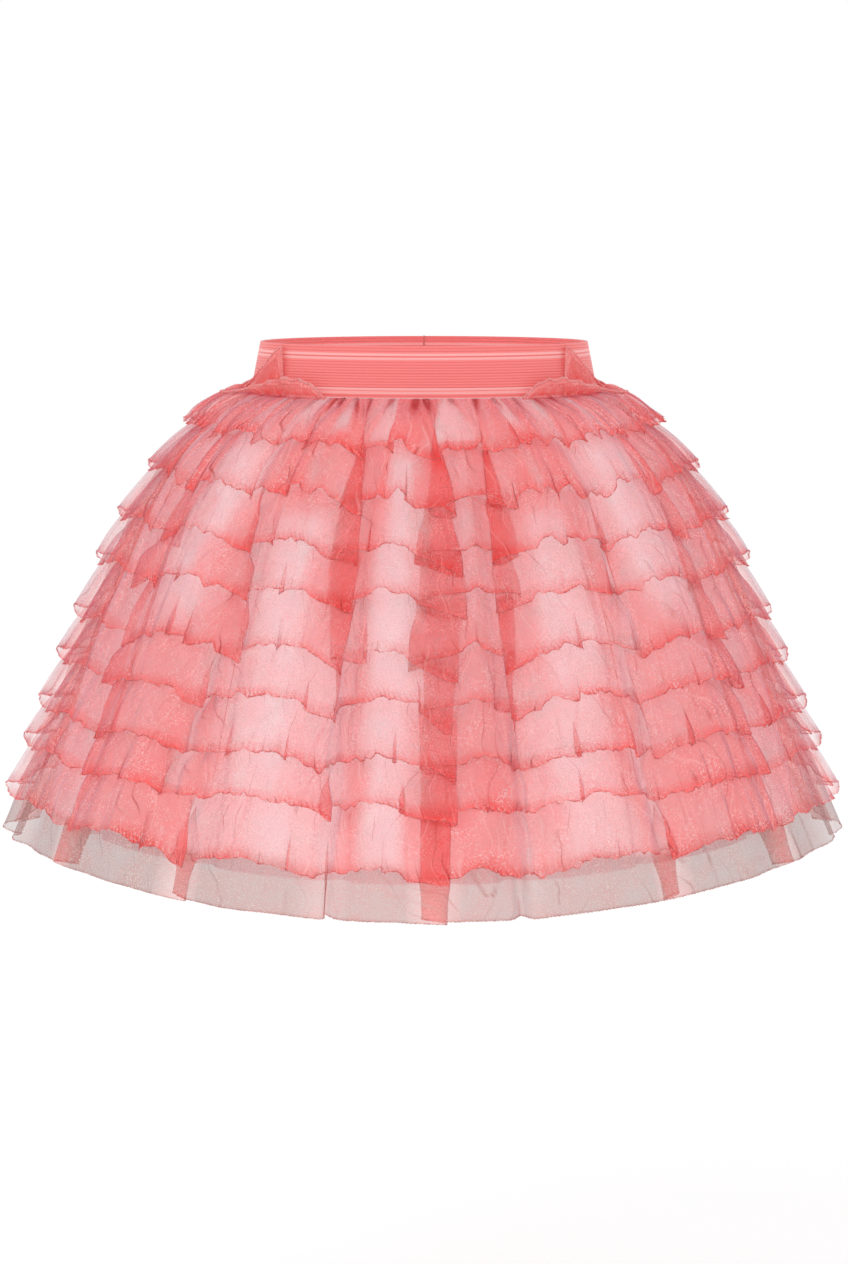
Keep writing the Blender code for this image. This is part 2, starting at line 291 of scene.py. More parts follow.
def hanging(angle, drop, shifts, dipping=1.0):
    """How much lower the cloth hangs in the folds, and how it rises in arches between them."""
    lower = np.zeros_like(angle)
    for index, fold in enumerate(FOLDS):
        beyond = place_in(fold, angle, drop, shifts[index]) - DIP_MIDDLE
        beyond = np.where(beyond < 0.0, -beyond, beyond * 0.62)
        lost = DIP_LOST if fold.full < 0.9 else FULL_DIP_LOST
        dip = fold.dip * (1 - lost * ramp(drop, 0.16, 0.10))
        lower = np.maximum(lower, dip * (1 - eased(beyond / 0.95)))
    across, which = across_panels(angle, drop)
    return dipping * lower - np.where(across >= 0.0, np.sin(np.pi * across) * ARCH, 0.0)


print(f"a fold turns at {OUTER_TURN} and {INNER_TURN} of its half width")

# %% What the folds do to the colour


def stripe(place, lap):
    """1 in the middle of a fold that laps far, and 0 beside it."""
    return (1 - ramp(np.abs(place), 0.55, 0.6)) * np.minimum(lap / 1.2, 1.0) ** 1.5


def valley(angle, drop, shifts, strengths):
    """1 in the middle of a full fold that laps far, and 0 out of it."""
    deep = np.zeros_like(angle)
    for index, fold in enumerate(FOLDS):
        place = place_in(fold, angle, drop, shifts[index])
        lap = lap_at(fold, drop) * strengths[index]
        deep = np.maximum(deep, stripe(place, lap) * fold.full)
    return deep


def thinning(angle, drop, shifts):
    """Where a fold's two hidden layers have spread out thin, and where the cloth it laps over has
    bunched up against it. A full fold does neither."""
    thin, pushed = np.zeros_like(angle), np.zeros_like(angle)
    for index, fold in enumerate(FOLDS):
        place = place_in(fold, angle, drop, shifts[index])
        spread = (1 - fold.full) * np.exp(-(((place - 0.35) / 0.5) ** 2))
        heap = (1 - fold.full) * ramp(place, 0.5, 0.4) * (1 - ramp(place, 0.9, 1.1))
        heap = heap * min(1.0, lap_at(fold, drop).mean() / 1.1) ** 3
        thin, pushed = np.maximum(thin, spread), np.maximum(pushed, heap)
    return thin, pushed


def tautness(angle, drop, rng):
    """1 in the middle of a taut panel, 0 where the cloth is loose, and the same for the strips on
    both sides of a panel, where the cloth drawn from it is heaped. rng varies the panel's edges."""
    taut, flank = np.zeros_like(angle), np.zeros_like(angle)
    for panel in PANELS:
        half = panel.half_top + (panel.half_hem - panel.half_top) * way_down(drop)
        half = half * rng.uniform(0.85, 1.30)
        place = np.abs(wrapped(angle - leaning(panel, drop) - rng.normal(0.0, 1.3))) / half
        level = ramp(drop, panel.starts, 0.02) * (1 - ramp(drop, panel.ends, 0.03)) * panel.pale
        taut = np.maximum(taut, level * (1 - ramp(place, 0.50, 0.80)))
        flank = np.maximum(flank, level * np.exp(-(((place * half - half * 1.1 - 1.5) / 2.0) ** 2)))
    return taut, flank * (1 - taut)


print("the deepest stripe:", max(fold.lap * fold.full for fold in FOLDS))

# %% [markdown]
# ## Making a sheet of cloth
# Each sheet is a grid: columns run down the cloth and rows run round it. The columns are spaced
# evenly along the cloth itself, so that the turns of a fold get as many as a flat panel does. The
# grid carries a UV map in metres of cloth, which the weave follows, and six values that the
# materials read: edge is 1 at the rolled edge itself and band in the strip above it, crease is how
# deep a point lies in a crease, bunch how much the cloth is bunched up there, tint how much of the
# deeper colour it takes, and sheer how far it has thinned out.


# %% Grids that become meshes
def put_in_scene(name, data):
    made = bpy.data.objects.new(name, data)
    bpy.context.scene.collection.objects.link(made)
    return made


def grid_mesh(name, points, closed, cloth, values, closed_down=False):
    """A mesh from rows of points. cloth holds each point's place on the cloth in metres."""
    rows, count = points.shape[:2]
    across = count if closed else count - 1
    down = rows if closed_down else rows - 1
    row, column = np.meshgrid(np.arange(down), np.arange(across), indexing="ij")
    row, column = row.ravel(), column.ravel()
    after, below = (column + 1) % count, (row + 1) % rows
    corners = np.stack(
        [row * count + column, below * count + column, below * count + after, row * count + after],
        axis=1,
    )
    mesh = bpy.data.meshes.new(name)
    mesh.from_pydata(points.reshape(-1, 3).tolist(), [], corners.tolist())
    width = cloth[..., 0].max() * count / (count - 1)
    uv = cloth.reshape(-1, 2)[corners]
    uv[:, 2:, 0] += np.where(after == 0, width, 0.0)[:, None]
    mesh.uv_layers.new(name="cloth").data.foreach_set("uv", uv.astype(np.float32).ravel())
    for key, value in values.items():
        layer = mesh.attributes.new(key, "FLOAT", "POINT")
        filled = np.broadcast_to(value, (rows, count)).astype(np.float32)
        layer.data.foreach_set("value", filled.ravel())
    mesh.shade_smooth()
    return put_in_scene(name, mesh)


print("a point's values:", "edge, band, crease, bunch, tint, sheer")


# %% Lengths and ripples on the cloth
def lengths_along(points):
    """The length from the first point to each of a line of points, or of many lines side by side."""
    steps = np.linalg.norm(np.diff(points, axis=0), axis=-1)
    return np.concatenate([np.zeros_like(steps[:1]), steps.cumsum(axis=0)])


def cloth_lengths(points):
    """Each point's place on the cloth: metres round at the middle row, metres down its column."""
    round_it, down = lengths_along(points[len(points) // 2]), lengths_along(points)
    return np.stack([np.broadcast_to(round_it, down.shape), -down], axis=-1)


def even_angles(drop, spacing, opened, strengths):
    """Angles all round whose points lie evenly along the folded cloth at a drop."""
    fine = np.linspace(-180.0, 180.0, 7201)
    level = np.full_like(fine, drop)
    ring = laid_on_form(BASE_SECTIONS, fine, level, *folded(fine, level, opened, strengths))
    length = lengths_along(ring)
    count = int(length[-1] / spacing)
    return np.interp(np.arange(count) * length[-1] / count, length, fine)


def ripples(rng, angle, down, slowest, fastest, parts, drift):
    """Smooth unevenness round the skirt, about 1 high, that wanders sideways on its way down."""
    total = np.zeros_like(angle)
    for _ in range(parts):
        turns = rng.integers(slowest, fastest + 1)
        start, slant = rng.uniform(0, 2 * math.pi), rng.normal(0, drift)
        total += np.cos(np.radians(angle) * turns + start + slant * down)
    return total / math.sqrt(parts)


def crease_lines(pattern, spacing, width):
    """1 along the lines where a pattern changes sign, falling to 0 within a width in metres."""
    slope = np.abs(np.gradient(pattern, axis=1)) / spacing
    distance = np.abs(pattern) / np.maximum(slope, 1e-6)
    return np.exp(-((distance / width) ** 2))


print(f"the form is {lengths_along(hem_ring)[-1]:.3f} m round at the hem")

# %% [markdown]
# ## Colours
# Every colour is written as the sRGB hex value that one would pick from a swatch, and one function
# turns it to the linear light that the shaders work in.


# %% Colours and node helper
def linear(swatch):
    """An sRGB hex colour as the linear RGBA that a shader takes."""
    parts = [int(swatch[i : i + 2], 16) / 255 for i in (1, 3, 5)]
    return tuple(p / 12.92 if p <= 0.04045 else ((p + 0.055) / 1.055) ** 2.4 for p in parts) + (1.0,)


def add(tree, kind, *in_order, **named):
    """Adds a node. A named value is one of its settings, or goes to its input of that name, and the
    values without a name go to its inputs in order. A value may be another node, which stands for
    its first output, or an output."""
    made = tree.nodes.new(kind)
    settings = [key for key in named if hasattr(made, key)]
    for key in settings:
        setattr(made, key, named.pop(key))
    live = [socket for socket in made.inputs if socket.enabled]
    given = list(zip(live, in_order))
    for key, value in named.items():
        given.append((next(s for s in live if s.name == key.replace("_", " ")), value))
    for socket, value in given:
        if isinstance(value, bpy.types.Node):
            value = next(output for output in value.outputs if output.enabled)
        if isinstance(value, bpy.types.NodeSocket):
            tree.links.new(value, socket)
        else:
            socket.default_value = value
    return made


MATH, MIX, RANGE = "ShaderNodeMath", "ShaderNodeMix", "ShaderNodeMapRange"
NOISE, SPLIT, BLEND = "ShaderNodeTexNoise", "ShaderNodeSeparateXYZ", "ShaderNodeMixShader"
ATTRIBUTE, SLANT = "ShaderNodeAttribute", "ShaderNodeLayerWeight"
COLOURS = {"data_type": "RGBA"}  # makes a Mix node mix colours
MULTIPLY = {"data_type": "RGBA", "blend_type": "MULTIPLY"}  # makes it tint one by another
MM = 0.001


def new_material(name):
    """A material, and the function that adds a node to it."""
    made = bpy.data.materials.new(name)
    made.use_nodes = True
    made.node_tree.nodes.clear()
    return made, partial(add, made.node_tree)


print("coral in linear light:", [round(c, 3) for c in linear("#ee7472")[:3]])

# %% [markdown]
# ## Organza
# Organza is a stiff plain weave of very fine twisted threads, here polyester. It is mostly gaps, so
# each layer lets most of the light by and tints the rest, and colour builds up where layers lie over
# each other. The hard twist gives a fine glitter, which is a painted highlight: pale spots and
# strokes mixed into the threads' colour. A mix of a see-through shader with the threads' own shader
# does the rest; how much of each is the weave's cover, which rises where the cloth is seen at a
# slant, in a crease and in the rolled edge.


# %% Marks in the organza
GRAIN = 0.9 * MM  # real threads are 0.08 mm apart; this is ten times coarser, so that it shows
PATCH = 15 * MM  # broad patches, where the threads have been pushed together or apart
BENDS = ((60 * MM, 50 * MM), (14 * MM, 6 * MM))  # the size and reach of a stroke's bends
GATHERS = (1700.0, 350.0, 5.0)  # radians for each metre across and down: one every 3.7 mm
PUCKERS = (2400.0, 1100.0, 3.0)  # one every 2.6 mm; the last number is how far the row wanders
GATHERS_END = 7 * MM


def strokes_down(node, cloth, spacing, start, width):
    """Hair-fine strokes that run down the cloth a little unevenly, each drawn only here and there."""
    axes = node(SPLIT, cloth).outputs
    count = node(MATH, axes["X"], 1 / spacing, start, operation="MULTIPLY_ADD")
    for size, reach in BENDS:
        bend = node(NOISE, cloth, Scale=1 / size, Detail=0.0)
        count = node(MATH, bend, reach / spacing, count, operation="MULTIPLY_ADD")
    part = node(MATH, count, operation="FRACT")
    off = node(MATH, part, 0.5, operation="SUBTRACT")
    off = node(MATH, off, operation="ABSOLUTE")
    line = node(RANGE, off, width / spacing, 0.3 * width / spacing)
    fall = node(MATH, axes["Y"], 1 / (30 * MM), operation="MULTIPLY")
    column = node(MATH, count, 1.7, operation="MULTIPLY")
    where = node("ShaderNodeCombineXYZ", column, fall)
    shown = node(NOISE, where, Scale=1.0, Detail=1.0)
    shown = node(RANGE, shown, 0.50, 0.62)
    return node(MATH, line, shown, operation="MULTIPLY")


def slanted_rows(node, axes, patches, across, down, wander):
    """Rows that run slanted down the cloth and wander with its patches, as a sine from -1 to 1."""
    row = node(MATH, axes["X"], across, operation="MULTIPLY")
    for share, weight in ((patches, wander), (axes["Y"], down)):
        row = node(MATH, share, weight, row, operation="MULTIPLY_ADD")
    return node(MATH, row, operation="SINE")


def organza_marks(node, cloth, band, strokes):
    """What the weave, the gathering and the overlocking leave in the cloth."""
    marks = SimpleNamespace()
    axes = node(SPLIT, cloth).outputs
    marks.speckle = node(NOISE, cloth, Scale=1 / GRAIN, Detail=2.0, Roughness=0.7)
    patches = node(NOISE, cloth, Scale=1 / PATCH, Detail=3.0)
    marks.patches = node(RANGE, patches, 0.32, 0.68)
    hair = strokes_down(node, cloth, 8 * MM, 0.0, 0.45 * MM)
    marks.hair = node(MATH, hair, strokes, operation="MULTIPLY")
    # Pale strokes, painted into the threads' colour as highlights.
    marks.streak = strokes_down(node, cloth, 6.5 * MM, 7.3, 0.7 * MM)
    # Close gathers under the seam, where the machine has drawn the cloth up; they fade out downwards.
    row = slanted_rows(node, axes, marks.patches, *GATHERS)
    row = node(MATH, row, 0.5, 0.5, operation="MULTIPLY_ADD")
    drawn = node(RANGE, axes["Y"], -GATHERS_END, 0.0)
    marks.drawn = node(MATH, row, drawn, operation="MULTIPLY")
    # Slanted puckers where the overlocking pulls the edge, on parts of it only.
    pucker = slanted_rows(node, axes, marks.patches, *PUCKERS)
    pucker = node(RANGE, pucker, 0.35, 0.95)
    pulled = node(NOISE, cloth, Scale=1 / (38 * MM), Detail=1.0)
    pulled = node(RANGE, pulled, 0.44, 0.54)
    pucker = node(MATH, pucker, pulled, operation="MULTIPLY")
    marks.pucker = node(MATH, pucker, band, operation="MULTIPLY")
    return marks


print("a gather every", round(math.tau / GATHERS[0] / MM, 1), "mm")

# %% Colour of the organza
CREASED, HAIRLINE, PUCKERED = "#d68c8e", "#c5989a", "#cf8f92"  # each darkens the cloth under it
SEEN_AT_A_SLANT = {"Blend": 0.45}
MOST_COVER = 0.95


def thread_colour(node, cloth, sheet, marks, thread, shade, highlight_colour, slanted):
    """The threads: their deeper colour where they bunch, in the folds partly painted shade, and painted
    highlights where they would catch the light.
    """
    deeper = node(RANGE, marks.speckle, 0.34, 0.66)
    deeper = node(MATH, deeper, marks.patches, operation="MULTIPLY")
    tinted = node(MATH, sheet["tint"], 0.8, operation="MULTIPLY")
    tinted = node(MATH, sheet["band"], 0.5, tinted, operation="MULTIPLY_ADD")
    deeper = node(MATH, deeper, 0.35, tinted, operation="MULTIPLY_ADD")
    deeper = node("ShaderNodeClamp", deeper)
    colour = node(MIX, deeper, linear(thread), linear(shade), **COLOURS)
    # Painted highlight: pale spots and strokes turn the colour towards near white; there are fewer
    # where the deeper colour shows a fold's painted shade.
    cells = node("ShaderNodeTexVoronoi", cloth, Scale=1 / (0.7 * MM)).outputs["Color"]
    spark = node("ShaderNodeSeparateColor", cells).outputs["Red"]
    spark = node(RANGE, spark, 0.66, 0.92, 0.0, 0.95)
    matt = node(RANGE, sheet["tint"], 0.1, 1.0, 1.0, 0.20)
    matt = node(MATH, marks.patches, matt, operation="MULTIPLY")
    spark = node(MATH, spark, matt, operation="MULTIPLY")
    bright = node(MATH, marks.streak, 0.4, operation="MULTIPLY")
    marks.spark = node(MATH, spark, bright, operation="MAXIMUM")
    colour = node(MIX, marks.spark, colour, linear(highlight_colour), **COLOURS)
    # On a taut panel the threads spread, and patches of painted sheen, a white highlight, are mixed
    # into their colour.
    milk = node(NOISE, cloth, Scale=1 / (17 * MM), Detail=2.0)
    milk = node(RANGE, milk, 0.46, 0.72)
    spread = node(RANGE, sheet["bunch"], 0.45, 0.05)
    marks.milk = node(MATH, milk, spread, operation="MULTIPLY")
    colour = node(MIX, marks.milk, colour, linear(highlight_colour), **COLOURS)
    dark = ((sheet["crease"], CREASED), (marks.hair, HAIRLINE), (marks.pucker, PUCKERED))
    for share, swatch in dark:
        colour = node(MIX, share, colour, linear(swatch), **MULTIPLY)
    # Painted shade: where the cloth is seen at a slant its colour is darkened towards mauve, as cloth
    # turned from the front light would be.
    marks.slant = node(SLANT, **SEEN_AT_A_SLANT).outputs["Facing"]
    painted_slant_shade = node(RANGE, marks.slant, 0.36, 0.95)
    return node(MIX, painted_slant_shade, colour, linear(slanted), **MULTIPLY)


def see_through(node, colour, gloss, glow, cover):
    """Ends a material of thin threads: they shine, let a share of light through from behind, and
    leave gaps where their cover is low."""
    front = node("ShaderNodeBsdfPrincipled", Base_Color=colour, IOR=1.5, **gloss)
    through = node("ShaderNodeBsdfTranslucent", Color=colour)
    threads = node(BLEND, glow, front, through)
    gaps = node("ShaderNodeBsdfTransparent")
    whole = node(BLEND, cover, gaps, threads)
    node("ShaderNodeOutputMaterial", Surface=whole)


def weave_cover(node, sheet, marks, cover, bunched_cover, unevenness):
    """How much of the cloth is thread: the weave's grain, with slant, creases and edge on top."""
    thin, dense = cover * (1 - unevenness), cover * (1 + 0.45 * unevenness)
    covers = node(RANGE, marks.speckle, 0.3, 0.7, thin, dense)
    covers = node(MATH, marks.patches, cover * 0.35, covers, operation="MULTIPLY_ADD")
    for share, weight in (
        (marks.slant, 0.04),
        (marks.spark, 0.22),
        (marks.drawn, 0.16),
        (sheet["bunch"], bunched_cover),
        (sheet["band"], 0.20),
        (marks.pucker, 0.30),
        (sheet["crease"], 0.36),
        (marks.hair, 0.26),
        (marks.streak, 0.06),
        (marks.milk, 0.14),
        (sheet["edge"], 0.14),
    ):
        covers = node(MATH, share, weight, covers, operation="MULTIPLY_ADD")
    covers = node("ShaderNodeClamp", covers, Min=0.0, Max=MOST_COVER)
    kept = node(MATH, 1.0, sheet["sheer"], operation="SUBTRACT")
    return node(MATH, covers, kept, operation="MULTIPLY")


print(f"organza hides at most {MOST_COVER:.0%} of what is behind it")


# %% Organza material
def organza(name, colours, cover, bunched_cover, strokes, unevenness):
    """Woven of fine twisted yarn: it glitters a little, and light comes through it from behind."""
    made, node = new_material(name)
    cloth = node("ShaderNodeUVMap", uv_map="cloth").outputs["UV"]
    sheet = {
        key: node(ATTRIBUTE, attribute_name=key).outputs["Fac"]
        for key in ("edge", "band", "crease", "bunch", "tint", "sheer")
    }
    marks = organza_marks(node, cloth, sheet["band"], strokes)
    colour = thread_colour(node, cloth, sheet, marks, *colours)
    covers = weave_cover(node, sheet, marks, cover, bunched_cover, unevenness)
    relief = node("ShaderNodeBump", Strength=0.25, Distance=0.0004, Height=marks.speckle)
    gloss = {"Roughness": 0.5, "Specular_IOR_Level": 0.25, "Normal": relief}
    see_through(node, colour, gloss, 0.5, covers)
    return made


# Colours: the threads, their deeper colour (in the folds partly painted shade), their painted
# highlight, and the painted shade at a slant.
ruffle_organza = organza(
    "polyester organza, piece-dyed coral",
    ("#fb8e8d", "#ff5b57", "#ffe4e2", "#c2b4e0"),
    cover=0.15,
    bunched_cover=0.36,
    strokes=1.0,
    unevenness=0.65,
)
frill_organza = organza(
    "polyester organza, doubled and gathered, coral",
    ("#ffb1ae", "#fa7370", "#ffdcd9", "#f4d2da"),
    cover=0.30,
    bunched_cover=0.50,
    strokes=0.5,
    unevenness=0.65,
)
base_organza = organza(
    "polyester organza, undyed blush",
    ("#8f6861", "#f98680", "#cbbfb8", "#d8c4d8"),
    cover=0.30,
    bunched_cover=0.30,
    strokes=0.4,
    unevenness=0.35,
)
print("each organza has", len(ruffle_organza.node_tree.nodes), "nodes")

# %% [markdown]
# ## Lining and elastic
# The lining is a plain polyester taffeta, pale pink, smooth and slightly glossy. The elastic is
# woven over rubber cores, so it has a rib for each core, and two pairs of its ribs are pale.


# %% Lining material
def lining_cloth():
    """Close woven filament yarn: smooth and softly glossy, with faint slubs."""
    made, node = new_material("polyester taffeta, woven, pale pink")
    cloth = node("ShaderNodeUVMap", uv_map="cloth").outputs["UV"]
    slub = node(NOISE, cloth, Scale=1 / GRAIN, Detail=2.0)
    colour = node(MIX, slub, linear("#faf3f6"), linear("#f4ebf0"), **COLOURS)
    # Painted shade: where the taffeta is seen at a slant its colour is darkened a little towards grey,
    # as cloth turned from the light would be.
    slant = node(SLANT, **SEEN_AT_A_SLANT).outputs["Facing"]
    slant = node(RANGE, slant, 0.30, 0.95)
    colour = node(MIX, slant, colour, linear("#dedbe2"), **MULTIPLY)
    relief = node("ShaderNodeBump", Strength=0.15, Distance=0.0002, Height=slub)
    taffeta = node(
        "ShaderNodeBsdfPrincipled",
        Base_Color=colour,
        Roughness=0.42,
        IOR=1.5,
        Sheen_Weight=0.2,
        Normal=relief,
    )
    glow = node("ShaderNodeBsdfTranslucent", Color=colour)
    both = node(BLEND, 0.5, taffeta, glow)
    node("ShaderNodeOutputMaterial", Surface=both)
    return made


lining_material = lining_cloth()
print("lining:", lining_material.name)

# %% Elastic material
RIB = 1.6 * MM
STRIPE_DROPS = (0.0051, 0.0075, 0.0249, 0.0269)  # the pale ribs, below the top edge at the front
STRIPE_HALF = 0.62 * MM
STRIPE_BLUR = 0.15 * MM
STITCH = (0.7 * MM, 0.5 * MM)  # the weave's knots, round the elastic and down it


def elastic_cloth():
    """Matt yarn woven over rubber cores, paler over four of them. The UV map runs round the elastic
    and down it, so a pale rib is a band of the UV's v."""
    made, node = new_material("woven ribbed elastic, coral with pale stripes")
    cloth = node("ShaderNodeUVMap", uv_map="cloth").outputs["UV"]
    fall = node(SPLIT, cloth).outputs["Y"]
    pale = 0.0
    for drop in STRIPE_DROPS:
        away = node(MATH, fall, drop, operation="ADD")
        away = node(MATH, away, operation="ABSOLUTE")
        near = node(RANGE, away, STRIPE_HALF + STRIPE_BLUR, STRIPE_HALF)
        pale = node(MATH, pale, near, operation="MAXIMUM")
    fine = node("ShaderNodeMapping", cloth, Scale=(1 / STITCH[0], 1 / STITCH[1], 1.0))
    knots = node(NOISE, fine, Scale=1.0, Detail=1.0)
    groove_and_shade, inside_face_shade = (
        node(ATTRIBUTE, attribute_name=key).outputs["Fac"] for key in ("groove_and_shade", "inside_face_shade")
    )
    colour = node(MIX, knots, linear("#f88a87"), linear("#f0706e"), **COLOURS)
    # Painted shade: the cloth between the ribs is darker, where shade would fall.
    colour = node(MIX, groove_and_shade, colour, linear("#d65a5b"), **COLOURS)
    colour = node(MIX, pale, colour, linear("#f6a9a7"), **COLOURS)
    # Painted shade: the face turned in towards the waist is made a little darker, as it lies in shade.
    colour = node(MIX, inside_face_shade, colour, linear("#f9f0f0"), **MULTIPLY)
    relief = node("ShaderNodeBump", Strength=0.3, Distance=0.0002, Height=knots)
    woven = node(
        "ShaderNodeBsdfPrincipled",
        Base_Color=colour,
        Roughness=0.62,
        IOR=1.5,
        Sheen_Weight=0.25,
        Normal=relief,
    )
    node("ShaderNodeOutputMaterial", Surface=woven)
    return made


elastic_material = elastic_cloth()
print("elastic:", elastic_material.name)

# %% [markdown]
# ## The ruffles
# Each ruffle is a strip gathered on its upper edge and sewn to the base skirt. It leaves its seam
# at once, swells out, and falls almost straight to a narrow rolled hem. Where a fold draws it in it
# hangs lower, where a panel pushes it out it rises, so its edge runs in arches. Small tucks of its
# own lap over on the way down.

# %% Sizes of the ruffles
# For each ruffle, the drop of its edge and how far that stands out from the base skirt.
RUFFLES = (
    (0.0538, 0.0080), (0.0812, 0.0068), (0.1080, 0.0068), (0.1328, 0.0085), (0.1640, 0.0085),
    (0.1906, 0.0085), (0.2208, 0.0085), (0.2450, 0.0085), (0.2778, 0.0065),
)
SIDE_REACH = 0.0040  # at the side an edge stands out this much further
COLUMN_SPACING = 1.5 * MM
ROW_SPACING = 1.8 * MM
LAST_EDGE = RUFFLES[-1][0]


def start_ruffle(number, rng):
    """What a ruffle starts from: its seam, its own version of the folds, and its grid."""
    edge_drop, reach = RUFFLES[number - 1]
    r = SimpleNamespace(number=number, edge_drop=edge_drop, reach=reach)
    r.sewn = FIRST_DROP if number == 1 else RUFFLES[number - 2][0] - TUCK
    r.edge_opened = smooth_through(BASE_SECTIONS, "opened", edge_drop)
    r.half_width = smooth_through(BASE_SECTIONS, "half_width", edge_drop)
    r.tucks = own_tucks(rng, number)
    # The main folds keep to their places in every ruffle; the others wander and differ more.
    steady = np.array([fold.full > 0.4 for fold in FOLDS])
    r.shifts = rng.normal(0.0, np.where(steady, 0.45, 1.5))
    r.strengths = rng.uniform(np.where(steady, 0.86, 0.55), np.where(steady, 1.08, 1.20))
    r.spacing = COLUMN_SPACING * (0.5 if number == 1 else 1.0)
    r.line = even_angles(edge_drop, r.spacing, r.edge_opened, r.strengths)
    count = max(14, round((edge_drop - r.sewn) / ROW_SPACING))
    r.angle, r.down = np.meshgrid(r.line, np.linspace(0.0, 1.0, count))
    return r


apart = np.diff(RUFFLES, axis=0)[:, 0].mean()
print(f"{len(RUFFLES)} ruffles, with their edges {apart:.3f} m apart on average")

# %% Small tucks, gathers and wedges
# angle and half_width are in degrees, and way, lap and depth are those of a fold.
Tuck = namedtuple("Tuck", "angle half_width way lap depth")
# The gathers under the elastic, in degrees, which sink as pits darkened with painted shade; they run on
# round the back.
PITS = (
    (-36.0, -29.0, -27.0, -22.0, -17.0, -10.0, -2.5, 0.5, 8.5, 16.5, 23.0, 30.0, 37.0, 44.0)
    + (52.0, 61.0, 69.0, 78.0, 88.0, 97.0, 104.0, 113.0, 120.0, 129.0, 137.0, 142.0, 151.0)
    + (158.0, 167.0, 173.0, 181.0, 190.0, 196.0, 205.0, 211.0, 220.0, 228.0, 235.0, 244.0)
    + (250.0, 259.0, 267.0, 275.0, 284.0, 292.0, 300.0, 308.0, 316.0)
)
# Pale wedges between them, where the first ruffle stands smooth: middle and half width in degrees,
# and how far down the ruffle they reach.
WEDGES = (
    (-47.0, 2.0, 0.8), (-33.0, 2.0, 0.6), (-22.0, 1.9, 0.8), (-9.0, 1.9, 1.0),
    (7.3, 4.2, 1.0), (23.5, 2.4, 0.7), (34.0, 2.0, 0.6), (48.0, 2.0, 0.8),
    (66.0, 2.4, 0.8), (92.0, 3.6, 1.0), (109.0, 2.0, 0.7), (125.0, 2.8, 0.9),
    (147.0, 2.2, 0.8), (162.0, 3.4, 1.0), (177.0, 2.2, 0.7), (193.0, 4.0, 1.0),
    (208.0, 2.2, 0.7), (224.0, 2.6, 0.9), (247.0, 3.0, 0.9), (263.0, 2.0, 0.7),
    (284.0, 3.2, 1.0),
)


def own_tucks(rng, number):
    """A ruffle's own small tucks, between the folds of the skirt."""
    made = []
    count = 20 + number
    for step in range(count):
        angle = -180.0 + 360.0 * (step + rng.uniform(-0.38, 0.38)) / count
        half_width, way = rng.uniform(1.4, 2.8), rng.choice((-1.0, 1.0))
        lap, depth = rng.uniform(0.25, 0.75), rng.uniform(0.0016, 0.0038)
        made.append(Tuck(angle, half_width, way, lap, depth))
    return made


def tucked(tucks, angle, down, half_width):
    """How far a ruffle's own tucks carry its cloth along and out; they grow from the seam down."""
    along, out = np.zeros_like(angle), np.zeros_like(angle)
    grown = ramp(down, 0.12, 0.7)
    for tuck in tucks:
        place = wrapped(angle - tuck.angle) / tuck.half_width * tuck.way
        moved, sunk = s_fold(place, np.radians(tuck.half_width) * half_width, tuck.lap, tuck.depth)
        along += moved * tuck.way * grown
        out += sunk * grown
    return along, out


def pitted(rng, angle, down):
    """1 in the gathers under the elastic, darkened with painted shade; each is a short slanted line
    that fades downwards.
    """
    dark = np.zeros_like(angle)
    for pit in PITS:
        slant, length, width = rng.normal(0.0, 3.0), rng.uniform(0.12, 0.45), rng.uniform(0.5, 1.1)
        line = np.exp(-((wrapped(angle - pit - slant * down) / width) ** 2))
        dark = np.maximum(dark, line * (1 - eased(down / length)))
    return dark


def wedged(angle, down):
    """1 in the pale wedges of the first ruffle."""
    pale = np.zeros_like(angle)
    for middle, half_width, ends in WEDGES:
        place = np.abs(wrapped(angle - middle)) / (half_width * (0.55 + 0.6 * down))
        pale = np.maximum(pale, (1 - ramp(place, 0.5, 0.8)) * (1 - ramp(down, ends - 0.3, 0.4)))
    return pale


print(len(PITS), "dark gathers and", len(WEDGES), "pale wedges round the waist")

# %% Lie of a ruffle
SWELL_DEPTH, PUFF_DEPTH, SMALL_DEPTH = 0.0009, 0.0016, 0.0007
FIRST_GATHER_DEPTH, GATHER_DEPTH = 0.0011, 0.00045
FIRST_UNEVEN, UNEVEN = 0.0020, 0.0009  # the first two edges hang more unevenly than the others
FRILLED = 0.5 * MM  # the rolled edge wavers by this much
SCALLOP = 9 * MM
SEAM_DIPS = 0.6  # the seam dips in a fold by this share of what the edge does


def loosen(r, rng):
    """The cloth's own unevenness: slow swells, medium puffs, and gathers that fade downwards."""
    angle, down = r.angle, r.down
    swell = ripples(rng, angle, down, 5, 16, 8, 0.5)
    r.puffs = ripples(rng, angle, down, 22, 46, 12, 1.0)
    r.gathers = ripples(rng, angle, down, 60, 110, 14, 1.6)
    r.pleats = ripples(rng, angle, down, 120, 190, 14, 4.0) * np.sin(np.radians(angle)) ** 2
    small = ripples(rng, angle, down, 50, 100, 14, 2.0)
    puffed = PUFF_DEPTH * (np.abs(r.puffs) - 0.8) * (r.half_width / 0.25) ** 0.5
    r.loose = (SWELL_DEPTH * swell + puffed + SMALL_DEPTH * (np.abs(small) - 0.8)) * down
    first = r.number == 1
    depth = FIRST_GATHER_DEPTH if first else GATHER_DEPTH
    r.loose += depth * r.gathers * (1 - 0.75 * down) * eased(down / 0.12 + first)


